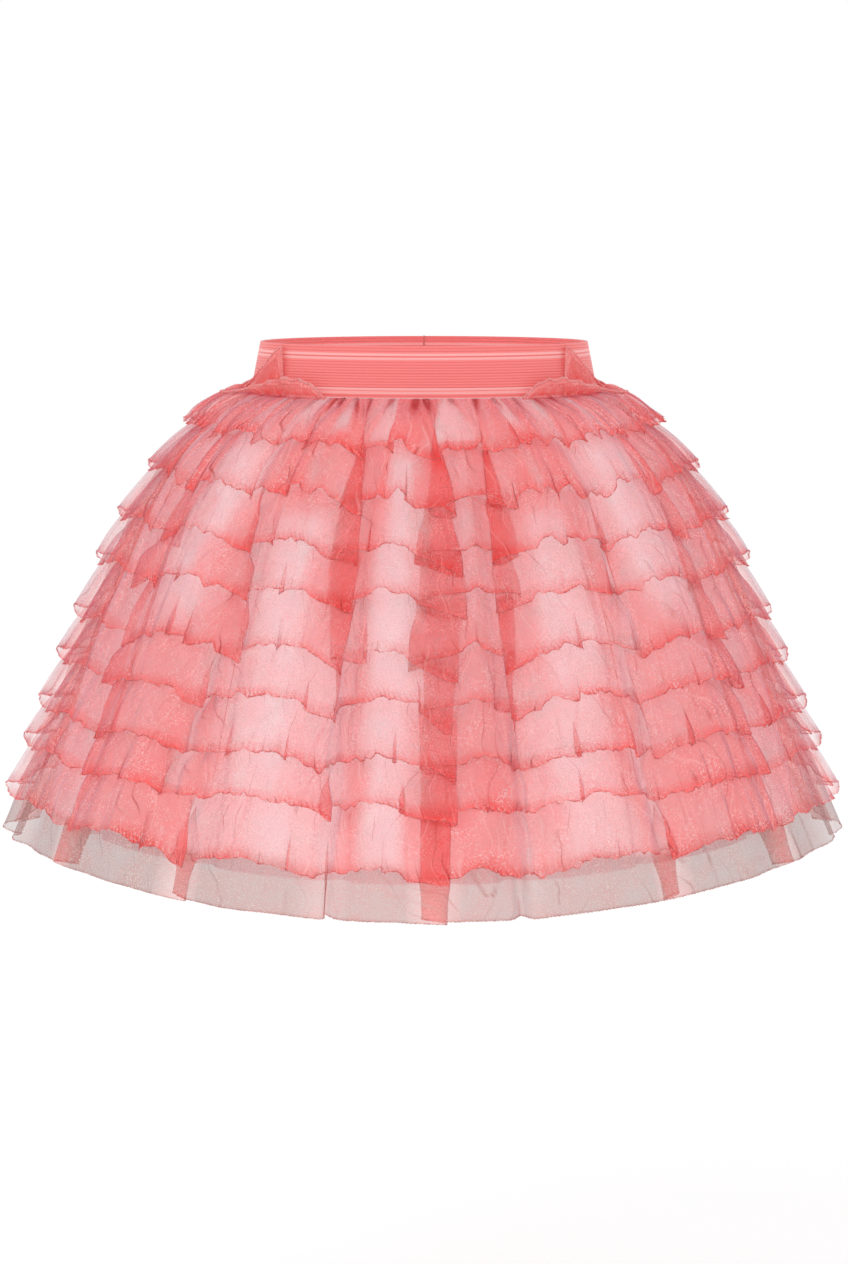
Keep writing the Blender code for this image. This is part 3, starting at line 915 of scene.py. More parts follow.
def hang(r, rng):
    """The edge hangs lower in the folds and rises in arches; the seam above follows it in part."""
    line = r.line
    edge = r.edge_drop + hanging(line, np.full_like(line, r.edge_drop), r.shifts) * r.edge_opened
    drawn_in = r.loose[-1] + tucked(r.tucks, line, np.ones_like(line), r.half_width)[1]
    uneven = (FIRST_UNEVEN if r.number < 3 else UNEVEN) * ripples(rng, line, 0.0, 40, 90, 12, 0.0)
    scallops = round(2 * math.pi * r.half_width / SCALLOP)
    uneven += FRILLED * ripples(rng, line, 0.0, scallops, 2 * scallops, 16, 0.0)
    calm = 1 - 0.85 * ramp(sideways(line), 0.90, 0.08)
    r.edge = edge - calm * (1.2 * drawn_in - uneven)
    r.seam = np.full_like(line, r.sewn)
    if r.number > 1:
        r.seam = r.seam + hanging(line, r.seam, AS_DRAWN, SEAM_DIPS) * r.edge_opened


print("ruffle edges waver by", FRILLED / MM, "mm")

# %% Shape of a ruffle
SHOULDER_RISE, SHOULDER_OUT = 0.0040, 0.0030  # the first ruffle puffs up beside the waist
PIT_DEPTH, PLEAT_DEPTH, CREASE_DEPTH = 0.0022, 0.0012, 0.0003
SWING = 2.3  # the higher, the sooner below its seam a ruffle stands out


def lay(r, rng):
    """Lays the ruffle on the form: folds, tucks, the swing out from the seam, and fine creases."""
    angle, down = r.angle, r.down
    r.drop = r.seam + (r.edge - r.seam) * down
    r.opened = smooth_through(BASE_SECTIONS, "opened", r.drop)
    sewn_to = folded(angle, r.drop, r.opened, r.strengths)
    free = folded(angle, r.drop, r.opened, r.strengths, r.shifts)
    freed = eased(down / 0.5)
    along, out = (above * (1 - freed) + below * freed for above, below in zip(sewn_to, free))
    tuck_along, r.tuck_out = tucked(r.tucks, angle, down, r.half_width)
    calm = 1 - 0.7 * ramp(sideways(angle), 0.90, 0.08)
    along, out = along + tuck_along * calm, out + r.tuck_out * calm
    out += SEAM + (r.reach - SEAM) * (1 - (1 - down) ** SWING)
    out += r.loose * calm + SIDE_REACH * (1 - calm) * down**2
    # Fine creases, some sharp and dark, on part of the cloth only.
    shown = ramp(ripples(rng, angle, down, 8, 24, 8, 2.5), 0.1, 0.8)
    r.crease = 0.4 * crease_lines(r.puffs, r.spacing, 0.8 * MM) * shown * eased(down / 0.1)
    if r.number == 1:
        shaded_pits = pitted(rng, angle, down)
        # The pits take a high crease value: the darkening there is painted shade.
        r.crease = np.maximum(r.crease, 1.6 * shaded_pits)
        out += PLEAT_DEPTH * r.pleats * eased(down / 0.15) - PIT_DEPTH * shaded_pits
    r.points = laid_on_form(BASE_SECTIONS, angle, r.drop, along, out - CREASE_DEPTH * r.crease)
    if r.number == 1:
        hump = 3.4 * down**0.5 * (1 - down) ** 2 * np.sin(np.radians(angle)) ** 4
        outwards = r.points[..., :2] / np.linalg.norm(r.points[..., :2], axis=-1, keepdims=True)
        r.points[..., :2] += outwards * (SHOULDER_OUT * hump)[..., None]
        r.points[..., 2] += SHOULDER_RISE * hump


print(f"a quarter of the way down, a ruffle has swung out by {1 - 0.75**SWING:.0%}")

# %% Look of a ruffle
# The weights below set how much each cause adds to the bunching, the deeper colour and the thinning.
EDGE_WIDTH = 0.6 * MM
BAND_WIDTH, LAST_BAND_WIDTH = 4.0 * MM, 5.0 * MM


def bunching(r, taut, pushed, patchy, low, facing):
    """Where the cloth is loose it bunches and covers more; where it is taut it covers least."""
    bunch = 0.95 - 0.95 * taut - 0.70 * r.deep + 0.25 * patchy * (1 - 0.6 * taut) + 0.30 * pushed
    bunch += 0.20 * eased(-r.tuck_out / 0.003) + (0.20 * facing + 0.35 * low) * (1 - taut)
    if r.number < 3:
        gathered = 0.60 / r.number + 0.35 * r.gathers + 0.35 * r.pleats
        bunch += gathered * (1 - taut) * (1 - 0.8 * r.deep)
    if r.number == 1:
        bunch *= 1 - 0.95 * wedged(r.angle, r.down)
    limb = ramp(sideways(r.angle), 0.72, 0.26) * r.opened
    return bunch * (1 - (0.20 + 0.30 * low) * limb)


def thinned(r, thin, low):
    """Folds that have spread thin, the rim of the sides, and the strip that the next ruffle hides."""
    rim = ramp(sideways(r.angle), 0.88, 0.10) * (0.3 + 0.7 * low)
    sheer = 0.85 * thin + 0.55 * rim * r.down * (1 - 0.8 * ramp(r.down, 0.7, 0.25))
    if r.number > 1:
        sheer = np.maximum(sheer, 0.65 * (1 - eased((r.edge - r.seam) * r.down / 0.006)))
    return sheer


def ruffle_look(r, rng):
    angle, down = r.angle, r.down
    r.deep = valley(angle, r.drop, r.shifts, r.strengths) * r.opened
    thin, pushed = thinning(angle, r.drop, r.shifts)
    patchy = ripples(rng, angle, down, 8, 30, 12, 1.2)
    low = ramp(r.edge_drop, 0.17, 0.09)  # 1 in the lowest ruffles
    facing = np.cos(np.radians(angle)) ** 8 * (1 - ramp(r.edge_drop, 0.09, 0.06))
    taut, flank = tautness(angle, r.drop, rng)
    taut = taut * (1 - 0.25 * down**2) * (1 - 0.9 * r.deep) * (1 - 0.15 * low)
    bunch = bunching(r, taut, pushed, patchy, low, facing)
    # In the folds the deeper colour stands partly for the doubled cloth and partly for painted shade in
    # the valley.
    fold_depth_and_shade = r.deep / np.maximum(r.opened, 0.3) * np.maximum(r.opened, 0.75) * (1 - 0.25 * low)
    tint = 0.15 + 0.64 * fold_depth_and_shade * (1 - 0.5 * down) - 0.15 * taut + 0.25 * facing * (1 - taut)
    tint += 0.2 * pushed + 0.3 * flank
    if r.number == 2:
        # Just under the first ruffle the folds of this one are still gathered tight.
        under_first = fold_depth_and_shade * (1 - ramp(down, 0.05, 0.4))
        bunch, tint = bunch + 0.8 * under_first, tint + 0.5 * under_first
    from_edge = (r.edge - r.seam) * (1 - down)
    band_width = LAST_BAND_WIDTH if r.number == len(RUFFLES) else BAND_WIDTH
    broken = np.clip(0.60 + 0.35 * patchy, 0.1, 1.2)
    return {
        "edge": np.exp(-((from_edge / EDGE_WIDTH) ** 2)),
        "band": np.exp(-((from_edge / band_width) ** 1.5)) * broken,
        "crease": r.crease,
        "bunch": np.clip(bunch, 0.0, 1.6),
        "tint": np.clip(tint, 0.0, 1.0),
        "sheer": np.clip(thinned(r, thin, low), 0.0, 0.9),
    }


print("the puckered band beside an edge is", BAND_WIDTH / MM, "mm wide")


# %% All nine ruffles
def ruffle_sheet(number):
    rng = np.random.default_rng(40 + number)
    r = start_ruffle(number, rng)
    for step in (loosen, hang, lay):
        step(r, rng)
    look = ruffle_look(r, rng)
    piece = grid_mesh(f"tier_{number}", r.points, True, cloth_lengths(r.points), look)
    piece.data.materials.append(ruffle_organza)
    return piece, r.points


tiers = []
for number in range(1, len(RUFFLES) + 1):
    tiers.append(ruffle_sheet(number))
    print(tiers[-1][0].name, len(tiers[-1][0].data.polygons) * 2, "triangles")

# %% [markdown]
# ## Rolled hems
# The edge of each ruffle is rolled tight by the machine and oversewn, which makes a fine dark cord
# with a twist in it. Stitches that repeat along an edge are work for Geometry Nodes: the tree takes
# the edge as a line of points, sweeps a thin round section along it and sets a slanted stitch on it
# at every pitch.

# %% Cord material
HEM_RADIUS = 0.32 * MM
TWIST = 4 * MM


def hem_cord(name, swatch, deep, thinnest, thickest):
    """Thread wound close round a rolled edge: matt, with lighter and darker turns, the lighter ones
    partly a painted highlight.
    """
    made, node = new_material(name)
    place = node("ShaderNodeTexCoord").outputs["Object"]
    twist_and_highlight = node(NOISE, place, Scale=1 / TWIST, Detail=2.0)
    twist_and_highlight = node(RANGE, twist_and_highlight, 0.40, 0.60)
    colour = node(MIX, twist_and_highlight, linear(swatch), linear(deep), **COLOURS)
    cover = node(RANGE, twist_and_highlight, To_Min=thinnest, To_Max=thickest)
    see_through(node, colour, {"Roughness": 0.55}, 0.4, cover)
    return made


coral_cord = hem_cord("organza rolled and oversewn, coral", "#ffb2af", "#e87675", 0.10, 0.50)
blush_cord = hem_cord("organza rolled and oversewn, blush", "#e6c3bf", "#d3a09c", 0.20, 0.50)
pale_cord = hem_cord("organza rolled and oversewn, pale coral", "#ffc4c4", "#fda6a4", 0.75, 0.95)
print("cords:", coral_cord.name, "|", blush_cord.name, "|", pale_cord.name)

# %% Rolled hem: node tree
STITCH_SIZES = {
    "Stitch pitch": 2.4 * MM,
    "Stitch length": 1.5 * MM,
    "Stitch slant": 0.6,  # radians from the edge
}


def new_tree(name, shape, sizes, result):
    """A node tree with named inputs, the function that adds a node to it, and what it is given."""
    tree = bpy.data.node_groups.new(name, "GeometryNodeTree")
    kinds = [(shape, "Geometry")] + [(size, "Float") for size in sizes] + [("Finish", "Material")]
    for label, kind in kinds:
        tree.interface.new_socket(label, in_out="INPUT", socket_type="NodeSocket" + kind)
    tree.interface.new_socket(result, in_out="OUTPUT", socket_type="NodeSocketGeometry")
    return tree, partial(add, tree), add(tree, "NodeGroupInput").outputs


def hem_tree():
    """Edge line in, rolled hem and stitches out."""
    tree, node, given = new_tree("rolled hem", "Edge", ["Hem radius", *STITCH_SIZES], "Hem")
    radius = given["Hem radius"]
    line = node("GeometryNodeMeshToCurve", given["Edge"])
    section = node("GeometryNodeCurvePrimitiveCircle", 5, Radius=radius).outputs["Curve"]
    cord = node("GeometryNodeCurveToMesh", line, Profile_Curve=section)
    marks = node("GeometryNodeCurveToPoints", line, given["Stitch pitch"], mode="LENGTH").outputs
    thread = node(
        "GeometryNodeMeshCylinder",
        Vertices=5,
        Radius=radius,
        Depth=given["Stitch length"],
        fill_type="TRIANGLE_FAN",
    ).outputs["Mesh"]
    slant = node("ShaderNodeCombineXYZ", given["Stitch slant"])
    turned = node("FunctionNodeRotateRotation", marks["Rotation"], slant, rotation_space="LOCAL")
    stitches = node(
        "GeometryNodeInstanceOnPoints",
        marks["Points"],
        Instance=thread,
        Rotation=turned,
    )
    both = node("GeometryNodeJoinGeometry", stitches)
    tree.links.new(cord.outputs[0], both.inputs[0])
    real = node("GeometryNodeRealizeInstances", both)
    smooth = node("GeometryNodeSetShadeSmooth", real)
    painted = node("GeometryNodeSetMaterial", smooth, Material=given["Finish"])
    node("NodeGroupOutput", Hem=painted)
    return tree


HEM_TREE = hem_tree()
print("the tree of the rolled hem has", len(HEM_TREE.nodes), "nodes")


# %% Rolled hems
def grown(name, start, tree, values):
    """The mesh that a node tree grows from a start mesh, as a plain object with no modifier."""
    seed = put_in_scene(name + "_start", start)
    maker = seed.modifiers.new("grow", "NODES")
    maker.node_group = tree
    for item in tree.interface.items_tree:
        if item.item_type == "SOCKET" and item.in_out == "INPUT" and item.name in values:
            maker[item.identifier] = values[item.name]
    evaluated = seed.evaluated_get(bpy.context.evaluated_depsgraph_get())
    mesh = bpy.data.meshes.new_from_object(evaluated)
    bpy.data.objects.remove(seed)
    return put_in_scene(name, mesh)


def rolled_hem(name, ring, closed, radius, finish):
    """The rolled hem along a line of points; a closed line is a ring."""
    start = bpy.data.meshes.new(name)
    count = len(ring)
    links = [(i, (i + 1) % count) for i in range(count if closed else count - 1)]
    start.from_pydata(ring.tolist(), links, [])
    values = {"Hem radius": radius, **STITCH_SIZES, "Finish": finish}
    return grown(name, start, HEM_TREE, values)


hems = []
for number, (piece, points) in enumerate(tiers, start=1):
    hems.append(rolled_hem(f"tier_{number}_hem", points[-1], True, HEM_RADIUS, coral_cord))
print("hem triangles:", sum(len(p.vertices) - 2 for hem in hems for p in hem.data.polygons))

# %% [markdown]
# ## The base skirt and the lining
# The base skirt is the sheet that all the ruffles are sewn to. Only its hem shows on its own, below
# the last ruffle, where it is greyer than the ruffles because nothing coral lies over it. The lining
# hangs clear inside it and ends a little higher.


# %% Base skirt
BASE_SPACING = 1.9 * MM
FLAT_EDGE = 0.9 * MM
HEM_SWELL = 0.0012
UPPER_ROWS, LOWER_ROWS = 40, 24


def base_shape(r, rng):
    """The base skirt's grid: its folds lap only near the hem, where they show."""
    r.strengths = np.array([fold.strip / fold.lap_hem for fold in FOLDS])
    r.line = even_angles(HEM_DROP, BASE_SPACING, 1.0, r.strengths)
    upper = np.linspace(FIRST_DROP, LAST_EDGE - 0.012, UPPER_ROWS)
    r.levels = np.concatenate([upper, np.linspace(upper[-1], HEM_DROP, LOWER_ROWS)[1:]])
    angle, drop = np.meshgrid(r.line, r.levels)
    opened = smooth_through(BASE_SECTIONS, "opened", drop)
    near_hem = ramp(drop, LAST_EDGE - 0.02, 0.04)
    r.lapping = ramp(drop, 0.235, 0.045)
    along, out = folded(angle, drop, opened, r.strengths)
    along = along * r.lapping * (1 - 0.15 * ramp(drop, 0.275, 0.020))
    out = out + HEM_SWELL * near_hem * ripples(rng, angle, near_hem, 14, 40, 12, 1.0)
    lines = crease_lines(ripples(rng, angle, near_hem, 24, 60, 10, 3.0), BASE_SPACING, 0.9 * MM)
    r.crease = lines * ramp(ripples(rng, angle, near_hem, 8, 24, 8, 1.5), 0.5, 0.8) * near_hem
    r.lower = hanging(r.line, np.full_like(r.line, HEM_DROP), AS_DRAWN)
    r.angle, r.drop = angle, drop + 0.18 * r.lower * near_hem
    r.points = laid_on_form(BASE_SECTIONS, angle, r.drop, along, out)


def base_look(r, rng):
    """Painted coral light: above the last ruffle's edge the light that comes through the coral ruffles
    is painted on it; below that it keeps its own greyer colour, but for the strips in the folds."""
    angle, drop = r.angle, r.drop
    last = LAST_EDGE + r.lower
    below = ramp(drop, last - 0.005, 0.008)
    greyer = np.maximum(below, 0.65 * ramp(drop, last - 0.032, 0.022))
    taut = tautness(angle, drop, rng)[0] * (1 - below)
    taut = taut * (1 - 0.9 * valley(angle, drop, AS_DRAWN, np.ones(len(FOLDS))))
    limb = ramp(sideways(angle), 0.88, 0.10)
    strips = np.zeros_like(angle)
    for fold in FOLDS:
        strips = np.maximum(strips, stripe(place_in(fold, angle, drop), fold.strip))
    facing = np.cos(np.radians(angle)) ** 8
    lapped = strips * r.lapping * (1 - below) * (1 - taut)
    return {
        "edge": np.exp(-(((HEM_DROP - r.levels)[:, None] / FLAT_EDGE) ** 2)),
        "band": 0.0,
        "crease": 0.6 * r.crease,
        "bunch": below * (1 - 0.8 * strips),
        "tint": np.clip(1 - greyer + 0.9 * strips + 0.25 * facing, 0.0, 1.0),
        "sheer": 0.42 * taut + 0.4 * limb * below + 0.8 * lapped,
    }


def base_sheet():
    rng = np.random.default_rng(7)
    r = SimpleNamespace()
    base_shape(r, rng)
    look = base_look(r, rng)
    piece = grid_mesh("base_organza", r.points, True, cloth_lengths(r.points), look)
    piece.data.materials.append(base_organza)
    return piece, r.points


base, base_points = base_sheet()
base_hem = rolled_hem("base_hem", base_points[-1], True, HEM_RADIUS * 0.8, blush_cord)
print("base skirt", len(base.data.polygons) * 2, "triangles")


# %% Lining
LINING_COLUMNS, LINING_ROWS = 400, 50


def lining_sheet():
    """The lining follows the folds of the skirt, but nothing in it laps."""
    line = np.linspace(-180.0, 180.0, LINING_COLUMNS, endpoint=False)
    levels = np.linspace(FIRST_DROP, LINING_SECTIONS[-1].drop, LINING_ROWS)
    angle, drop = np.meshgrid(line, levels)
    opened = smooth_through(LINING_SECTIONS, "opened", drop)
    out = folded(angle, drop, opened, np.zeros(len(FOLDS)))[1]
    points = laid_on_form(LINING_SECTIONS, angle, drop, np.zeros_like(out), out)
    piece = grid_mesh("lining_skirt", points, True, cloth_lengths(points), {})
    piece.data.materials.append(lining_material)
    return piece


lining = lining_sheet()
print("lining", len(lining.data.polygons) * 2, "triangles")

# %% [markdown]
# ## The elastic
# One band of ribbed elastic. The weaver gets the ribs from rubber cores at an even pitch. Here the
# band starts plain, as a ring with an outside and an inside, and a node tree sinks a groove between
# every two ribs, so that they are real relief on both faces. Its ends meet at the centre back, where
# they are oversewn, with the same tree as the rolled hems.

# %% Form of the band
BAND_TOP = (0.0980, 0.0765)  # half width and half depth
BAND_FOOT = (0.1040, 0.0818)
BAND_THICKNESS = 0.0018
BAND_CUT = 0.57  # metres round, as it lies stretched on the waist
RIB_DEPTH = 0.30 * MM
JOIN_RADIUS = 0.40 * MM
RIB_SHAPE = 0.6  # below 1 gives round ribs with narrow grooves between them
BAND_COLUMNS, BAND_ROWS = 240, 121


def on_band(angle, drop, out):
    """Points of the band at angles in degrees and at a drop, moved out by a distance."""
    turn, share = np.radians(angle), drop / BAND_HEIGHT
    half_width = BAND_TOP[0] + (BAND_FOOT[0] - BAND_TOP[0]) * share + out
    half_depth = BAND_TOP[1] + (BAND_FOOT[1] - BAND_TOP[1]) * share + out
    z = BAND_HEIGHT / 2 - drop - BACK_DIP * (1 - np.cos(turn)) / 2
    return np.stack([half_width * np.sin(turn), -half_depth * np.cos(turn), z], axis=-1)


foot = [f"{2 * half:.3f}" for half in BAND_FOOT]
print("the band's foot is", " x ".join(foot), "m")


# %% Elastic: node tree
def ribbed_tree():
    """Plain band in, with each point's drop stored as its fall; the same band with level ribs out."""
    sizes = ("Rib pitch", "Rib depth", "Rib shape")
    tree, node, given = new_tree("ribbed band", "Band", sizes, "Ribbed")
    fall = node("GeometryNodeInputNamedAttribute", Name="fall", data_type="FLOAT")
    turn = node(MATH, fall, given["Rib pitch"], operation="DIVIDE")
    turn = node(MATH, turn, math.pi, operation="MULTIPLY")
    wave = node(MATH, turn, operation="SINE")
    wave = node(MATH, wave, operation="ABSOLUTE")
    rib = node(MATH, wave, given["Rib shape"], operation="POWER")
    groove_and_shade = node(MATH, 1.0, rib, operation="SUBTRACT")
    sunk = node(MATH, groove_and_shade, given["Rib depth"], operation="MULTIPLY")
    sunk = node(MATH, sunk, -1.0, operation="MULTIPLY")
    outwards = node("GeometryNodeInputNormal")
    offset = node("ShaderNodeVectorMath", outwards, operation="SCALE", Scale=sunk)
    moved = node("GeometryNodeSetPosition", given["Band"], Offset=offset)
    # Each point's depth between the ribs is stored for the material, which paints shade there.
    marked = node(
        "GeometryNodeStoreNamedAttribute",
        moved,
        Name="groove_and_shade",
        Value=groove_and_shade,
        data_type="FLOAT",
        domain="POINT",
    )
    real = node("GeometryNodeRealizeInstances", marked)
    painted = node("GeometryNodeSetMaterial", real, Material=given["Finish"])
    node("NodeGroupOutput", Ribbed=painted)
    return tree


RIBBED_TREE = ribbed_tree()
print("the tree of the ribs has", len(RIBBED_TREE.nodes), "nodes")


# %% Elastic and its join
def elastic_band():
    """The plain band is one closed sheet, down the outside and up the inside."""
    angles = np.linspace(-180.0, 180.0, BAND_COLUMNS, endpoint=False)
    heights = np.linspace(0.0, BAND_HEIGHT, BAND_ROWS)
    outside = [on_band(angles, drop, 0.0) for drop in heights]
    inside = [on_band(angles, drop, -BAND_THICKNESS) for drop in heights[::-1]]
    drops = np.concatenate([heights, heights[::-1]])[:, None] * np.ones(len(angles))
    cloth = np.stack([np.broadcast_to((angles / 360 + 0.5) * BAND_CUT, drops.shape), -drops], axis=-1)
    values = {"fall": drops, "inside_face_shade": np.repeat([0.0, 1.0], len(heights))[:, None]}
    plain = grid_mesh("plain", np.array(outside + inside), True, cloth, values, closed_down=True)
    start = plain.data
    bpy.data.objects.remove(plain)
    sizes = {"Rib pitch": RIB, "Rib depth": RIB_DEPTH, "Rib shape": RIB_SHAPE}
    return grown("elastic", start, RIBBED_TREE, {**sizes, "Finish": elastic_material})


elastic = elastic_band()
join_thread = hem_cord("polyester thread, oversewn, deep coral", "#f29a98", "#dc7877", 0.9, 1.0)
down_the_band = np.linspace(0.0006, BAND_HEIGHT - 0.0006, 30)
joins = []
for side, out in (("outside", 0.0), ("inside", -BAND_THICKNESS)):
    seam = on_band(180.0, down_the_band, out)
    joins.append(rolled_hem(f"elastic_join_{side}", seam, False, JOIN_RADIUS, join_thread))
print("elastic", len(elastic.data.polygons) * 2, "triangles")

# %% [markdown]
# ## Side frills
# At each side of the waist the ruffle's heading stands up over the elastic in two layers. The inner
# one rises to two peaks, in front of the side and behind it. The outer one is a low collar with a
# thick rolled rim, and flares out from the side. Two tables give both layers their heights.

# %% Heights of the frills
# For each point, the angle, the height above the seam and how far it leans out.
PEAK_POINTS = (
    (50.5, -0.0005, 0.0006), (52.6, 0.0080, 0.0014), (54.0, 0.0200, 0.0016), (55.2, 0.0268, 0.0016),
    (57.0, 0.0285, 0.0014), (61.0, 0.0235, 0.0016), (67.0, 0.0160, 0.0018), (75.0, 0.0080, 0.0020),
    (84.0, 0.0030, 0.0024), (98.0, 0.0030, 0.0024), (107.0, 0.0080, 0.0020), (115.0, 0.0165, 0.0022),
    (121.0, 0.0240, 0.0016), (124.5, 0.0268, 0.0014), (127.0, 0.0200, 0.0016), (129.0, 0.0080, 0.0014),
    (131.5, -0.0005, 0.0006),
)
COLLAR_POINTS = (
    (32.5, -0.0005, 0.0010), (34.0, 0.0020, 0.0030), (36.8, 0.0080, 0.0050), (38.8, 0.0074, 0.0036),
    (41.5, 0.0108, 0.0054), (44.5, 0.0090, 0.0038), (48.0, 0.0112, 0.0056), (51.5, 0.0084, 0.0044),
    (55.0, 0.0086, 0.0066), (59.0, 0.0056, 0.0060), (63.0, 0.0052, 0.0088), (68.0, 0.0024, 0.0094),
    (74.0, 0.0010, 0.0124), (81.0, -0.0004, 0.0132), (87.0, -0.0002, 0.0152), (93.0, -0.0008, 0.0142),
    (99.0, 0.0000, 0.0134), (106.0, 0.0012, 0.0100), (113.0, 0.0050, 0.0078), (119.0, 0.0070, 0.0050),
    (125.0, 0.0108, 0.0054), (132.0, 0.0082, 0.0042), (138.0, 0.0058, 0.0036), (144.0, -0.0005, 0.0010),
)
print("the frills rise to", max(row[1] for row in PEAK_POINTS) / MM, "mm above the seam")

# %% Side frills
RIM_ROLL = 0.9 * MM
FRILL_LAP = 1.4 * MM  # how far a frill reaches down over the first ruffle's seam
TURNED = 0.72  # the share of a frill's cloth that rises; the rest folds over at the rim
FRILL_COLUMNS, FRILL_ROWS = 420, 26
RIM_ROW = round(TURNED * (FRILL_ROWS - 1))
SMOOTHED = 17  # columns over which a table of heights is smoothed
BELOW_GATHERS = (0.0, -0.010)  # keeps a frill's cloth clear of the gathers drawn under a seam


def side_frill(name, side, table, seed, start_out, rim_radius, fullness, loop):
    """One layer of a heading: it rises from the seam to its rim, and folds over there. loop lifts it
    right at the side."""
    rng = np.random.default_rng(seed)
    table = np.array(table)
    line = np.linspace(table[0, 0], table[-1, 0], FRILL_COLUMNS)
    smoothing = np.hanning(SMOOTHED) / np.hanning(SMOOTHED).sum()
    height, lean = (
        np.convolve(np.pad(values, SMOOTHED // 2, mode="edge"), smoothing, mode="valid")
        for values in (np.interp(line, table[:, 0], table[:, k]) for k in (1, 2))
    )
    share, angle = np.meshgrid(np.linspace(0.0, 1.0, FRILL_ROWS), line, indexing="ij")
    rising = np.minimum(share / TURNED, 1.0)
    falling = np.clip((share - TURNED) / (1 - TURNED), 0.0, 1.0)
    pleats = ripples(rng, angle, share, 40, 90, 10, 5.0)
    up = -FRILL_LAP + (height + FRILL_LAP) * (rising - 0.22 * falling)
    up += loop * np.sin(np.pi * rising) * np.exp(-(((angle - 90.0) / 12.0) ** 2))
    out = start_out + lean * rising**1.4 + 0.0016 * np.sqrt(falling) + fullness * pleats * rising
    points = on_band(angle, BAND_HEIGHT - up, out) * (side, 1.0, 1.0)
    if side < 0:
        points, pleats = points[:, ::-1], pleats[:, ::-1]
    # Deeper colour low in the frill and in the hollows of its pleats: partly the gathered cloth near
    # the seam and in the pleats, partly painted shade.
    hollow_shade = np.clip(0.75 + 0.30 * pleats, 0.0, 1.0) * (1 - ramp(share, 0.25, 0.35))
    look = {"edge": 0.0, "band": 0.0, "crease": 0.0, "bunch": 0.5, "tint": hollow_shade, "sheer": 0.0}
    piece = grid_mesh(name, points, False, cloth_lengths(points) + BELOW_GATHERS, look)
    piece.data.materials.append(frill_organza)
    return piece, rolled_hem(f"{name}_rim", points[RIM_ROW], False, rim_radius, pale_cord)


# For each layer: its heights, its seed, how far out it starts, its rim, its fullness and its loop.
LAYERS = {
    "side_frill": (PEAK_POINTS, 3, 0.0009, RIM_ROLL * 0.6, 0.0002, 0.0),
    "side_collar": (COLLAR_POINTS, 5, 0.0022, RIM_ROLL, 0.0006, 0.0050),
}
frills = []
for label, side in (("right", 1), ("left", -1)):
    (peak, peak_rim), (collar, collar_rim) = (
        side_frill(f"{layer}_{label}", side, *sizes) for layer, sizes in LAYERS.items()
    )
    frills.append((label, peak, collar, [peak_rim, collar_rim]))
print("frills:", ", ".join(piece.name for row in frills for piece in row[1:3]))

# %% [markdown]
# ## Riding and replacing
# Every piece rides on the one body. A main piece stands for the solid of its own name, which is
# hidden, and each sheet is listed with its flat size and with the hems that are sewn to it.

pieces = [
    (lining, "lining", "lining", (1.10, 0.30), "gathered"),
    (base, "base_skirt", "base_organza", (1.90, 0.30), "gathered"),
    (elastic, "waistband", "elastic", (BAND_CUT, BAND_HEIGHT), "stretched"),
]
for label, peak, collar, rims in frills:
    pieces.append((peak, f"frill_{label}", "organza", (0.16, 0.017), "gathered"))
    pieces.append((collar, None, "organza", (0.20, 0.014), "gathered"))
for number, (piece, points) in enumerate(tiers, start=1):
    rings = np.concatenate([points, points[:, :1]], axis=1)
    width = np.linalg.norm(np.diff(rings, axis=1), axis=2).sum(axis=1).mean()
    length = np.linalg.norm(np.diff(points, axis=0), axis=2).sum(axis=0).mean()
    print(piece.name, f"{width:.2f} m wide on average, {length * 1000:.0f} mm long")
    pieces.append((piece, f"ruffle_{number}", "organza", (width, length), "gathered"))
rims = [rim for row in frills for rim in row[3]]
trimmings = [(hem, "organza") for hem in hems + rims]
trimmings += [(base_hem, "base_organza")] + [(join, "elastic") for join in joins]
for trimming, slot in trimmings:
    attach(trimming, "root")
trims = {f"ruffle_{number}": [hem] for number, hem in enumerate(hems, start=1)}
trims["base_skirt"] = [base_hem]
trims["waistband"] = joins
trims.update({f"frill_{label}": rims for label, peak, collar, rims in frills})
for piece, solid, slot, flat, held in pieces:
    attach(piece, "root")
    if solid:
        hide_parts(solid)

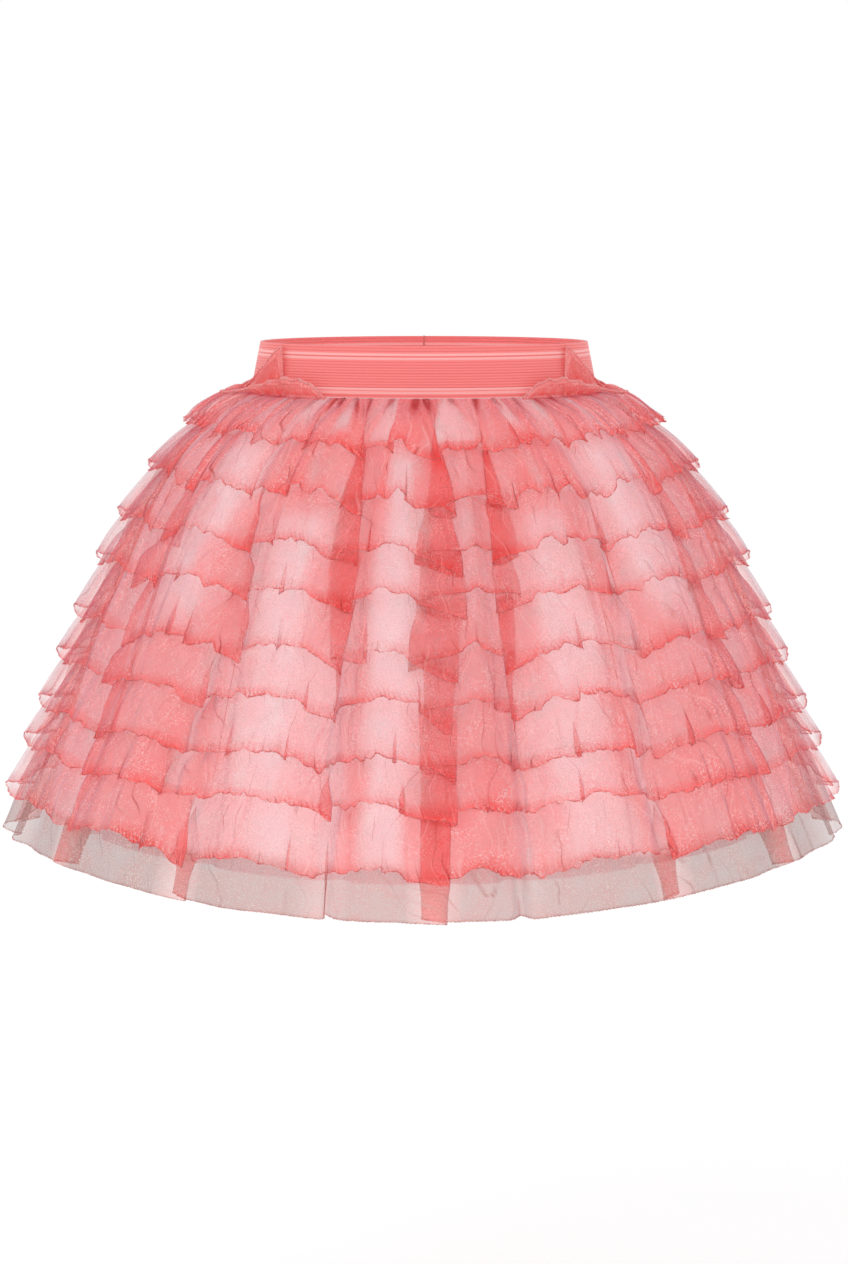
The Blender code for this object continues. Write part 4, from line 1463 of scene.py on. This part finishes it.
# %% [markdown]
# ## Studio and camera
# A white floor, a white sky and three soft lamps: one high on the left, a weak one that fills from
# the right, and one below the skirt that shines up into it, as light from the floor would.

# %% Floor
FLOOR = -0.68
floor_mesh = bpy.data.meshes.new("floor")
corners = [(-9, -9, FLOOR), (9, -9, FLOOR), (9, 9, FLOOR), (-9, 9, FLOOR)]
floor_mesh.from_pydata(corners, [], [(0, 1, 2, 3)])
floor = put_in_scene("floor", floor_mesh)
floor_paint, node = new_material("studio paper, matt white")
paper = node("ShaderNodeBsdfPrincipled", linear("#ffffff"), Roughness=0.9)
node("ShaderNodeOutputMaterial", Surface=paper)
floor_mesh.materials.append(floor_paint)
print("floor at", FLOOR, "m")

# %% Sky and lamps
world = bpy.data.worlds.new("studio")
bpy.context.scene.world = world
world.use_nodes = True
sky = world.node_tree.nodes["Background"].inputs
sky["Color"].default_value = linear("#ffffff")
sky["Strength"].default_value = 1.0

Lamp = namedtuple("Lamp", "name place size watts")
LAMPS = (
    Lamp("key", (-1.1, -2.2, 1.9), 1.6, 11.0),
    Lamp("fill", (1.7, -1.8, 0.6), 1.6, 1.6),
    Lamp("under", (0.0, 0.0, -0.64), 0.5, 1.2),
)
AIM = Vector((0, 0, -0.15))  # the middle of the skirt
for lamp in LAMPS:
    light = bpy.data.lights.new(lamp.name, "AREA")
    light.size = lamp.size
    light.energy = lamp.watts
    holder = put_in_scene(lamp.name, light)
    holder.location = lamp.place
    aim = AIM - Vector(lamp.place)
    holder.rotation_euler = aim.to_track_quat("-Z", "Y").to_euler()
print("lamps:", ", ".join(lamp.name for lamp in LAMPS))

# %% Camera
camera_data = bpy.data.cameras.new("camera")
camera_data.lens = 102.53
camera_data.sensor_fit = "VERTICAL"
camera_data.sensor_height = 36.0
camera = put_in_scene("camera", camera_data)
camera.location = (0.0, -2.16, 0.143)
camera.rotation_euler = (math.radians(81.94), 0.0, 0.0)
bpy.context.scene.camera = camera
bpy.context.scene.view_settings.view_transform = "Standard"
bpy.context.scene.view_settings.look = "None"
print(f"lens {camera_data.lens:.1f} mm")
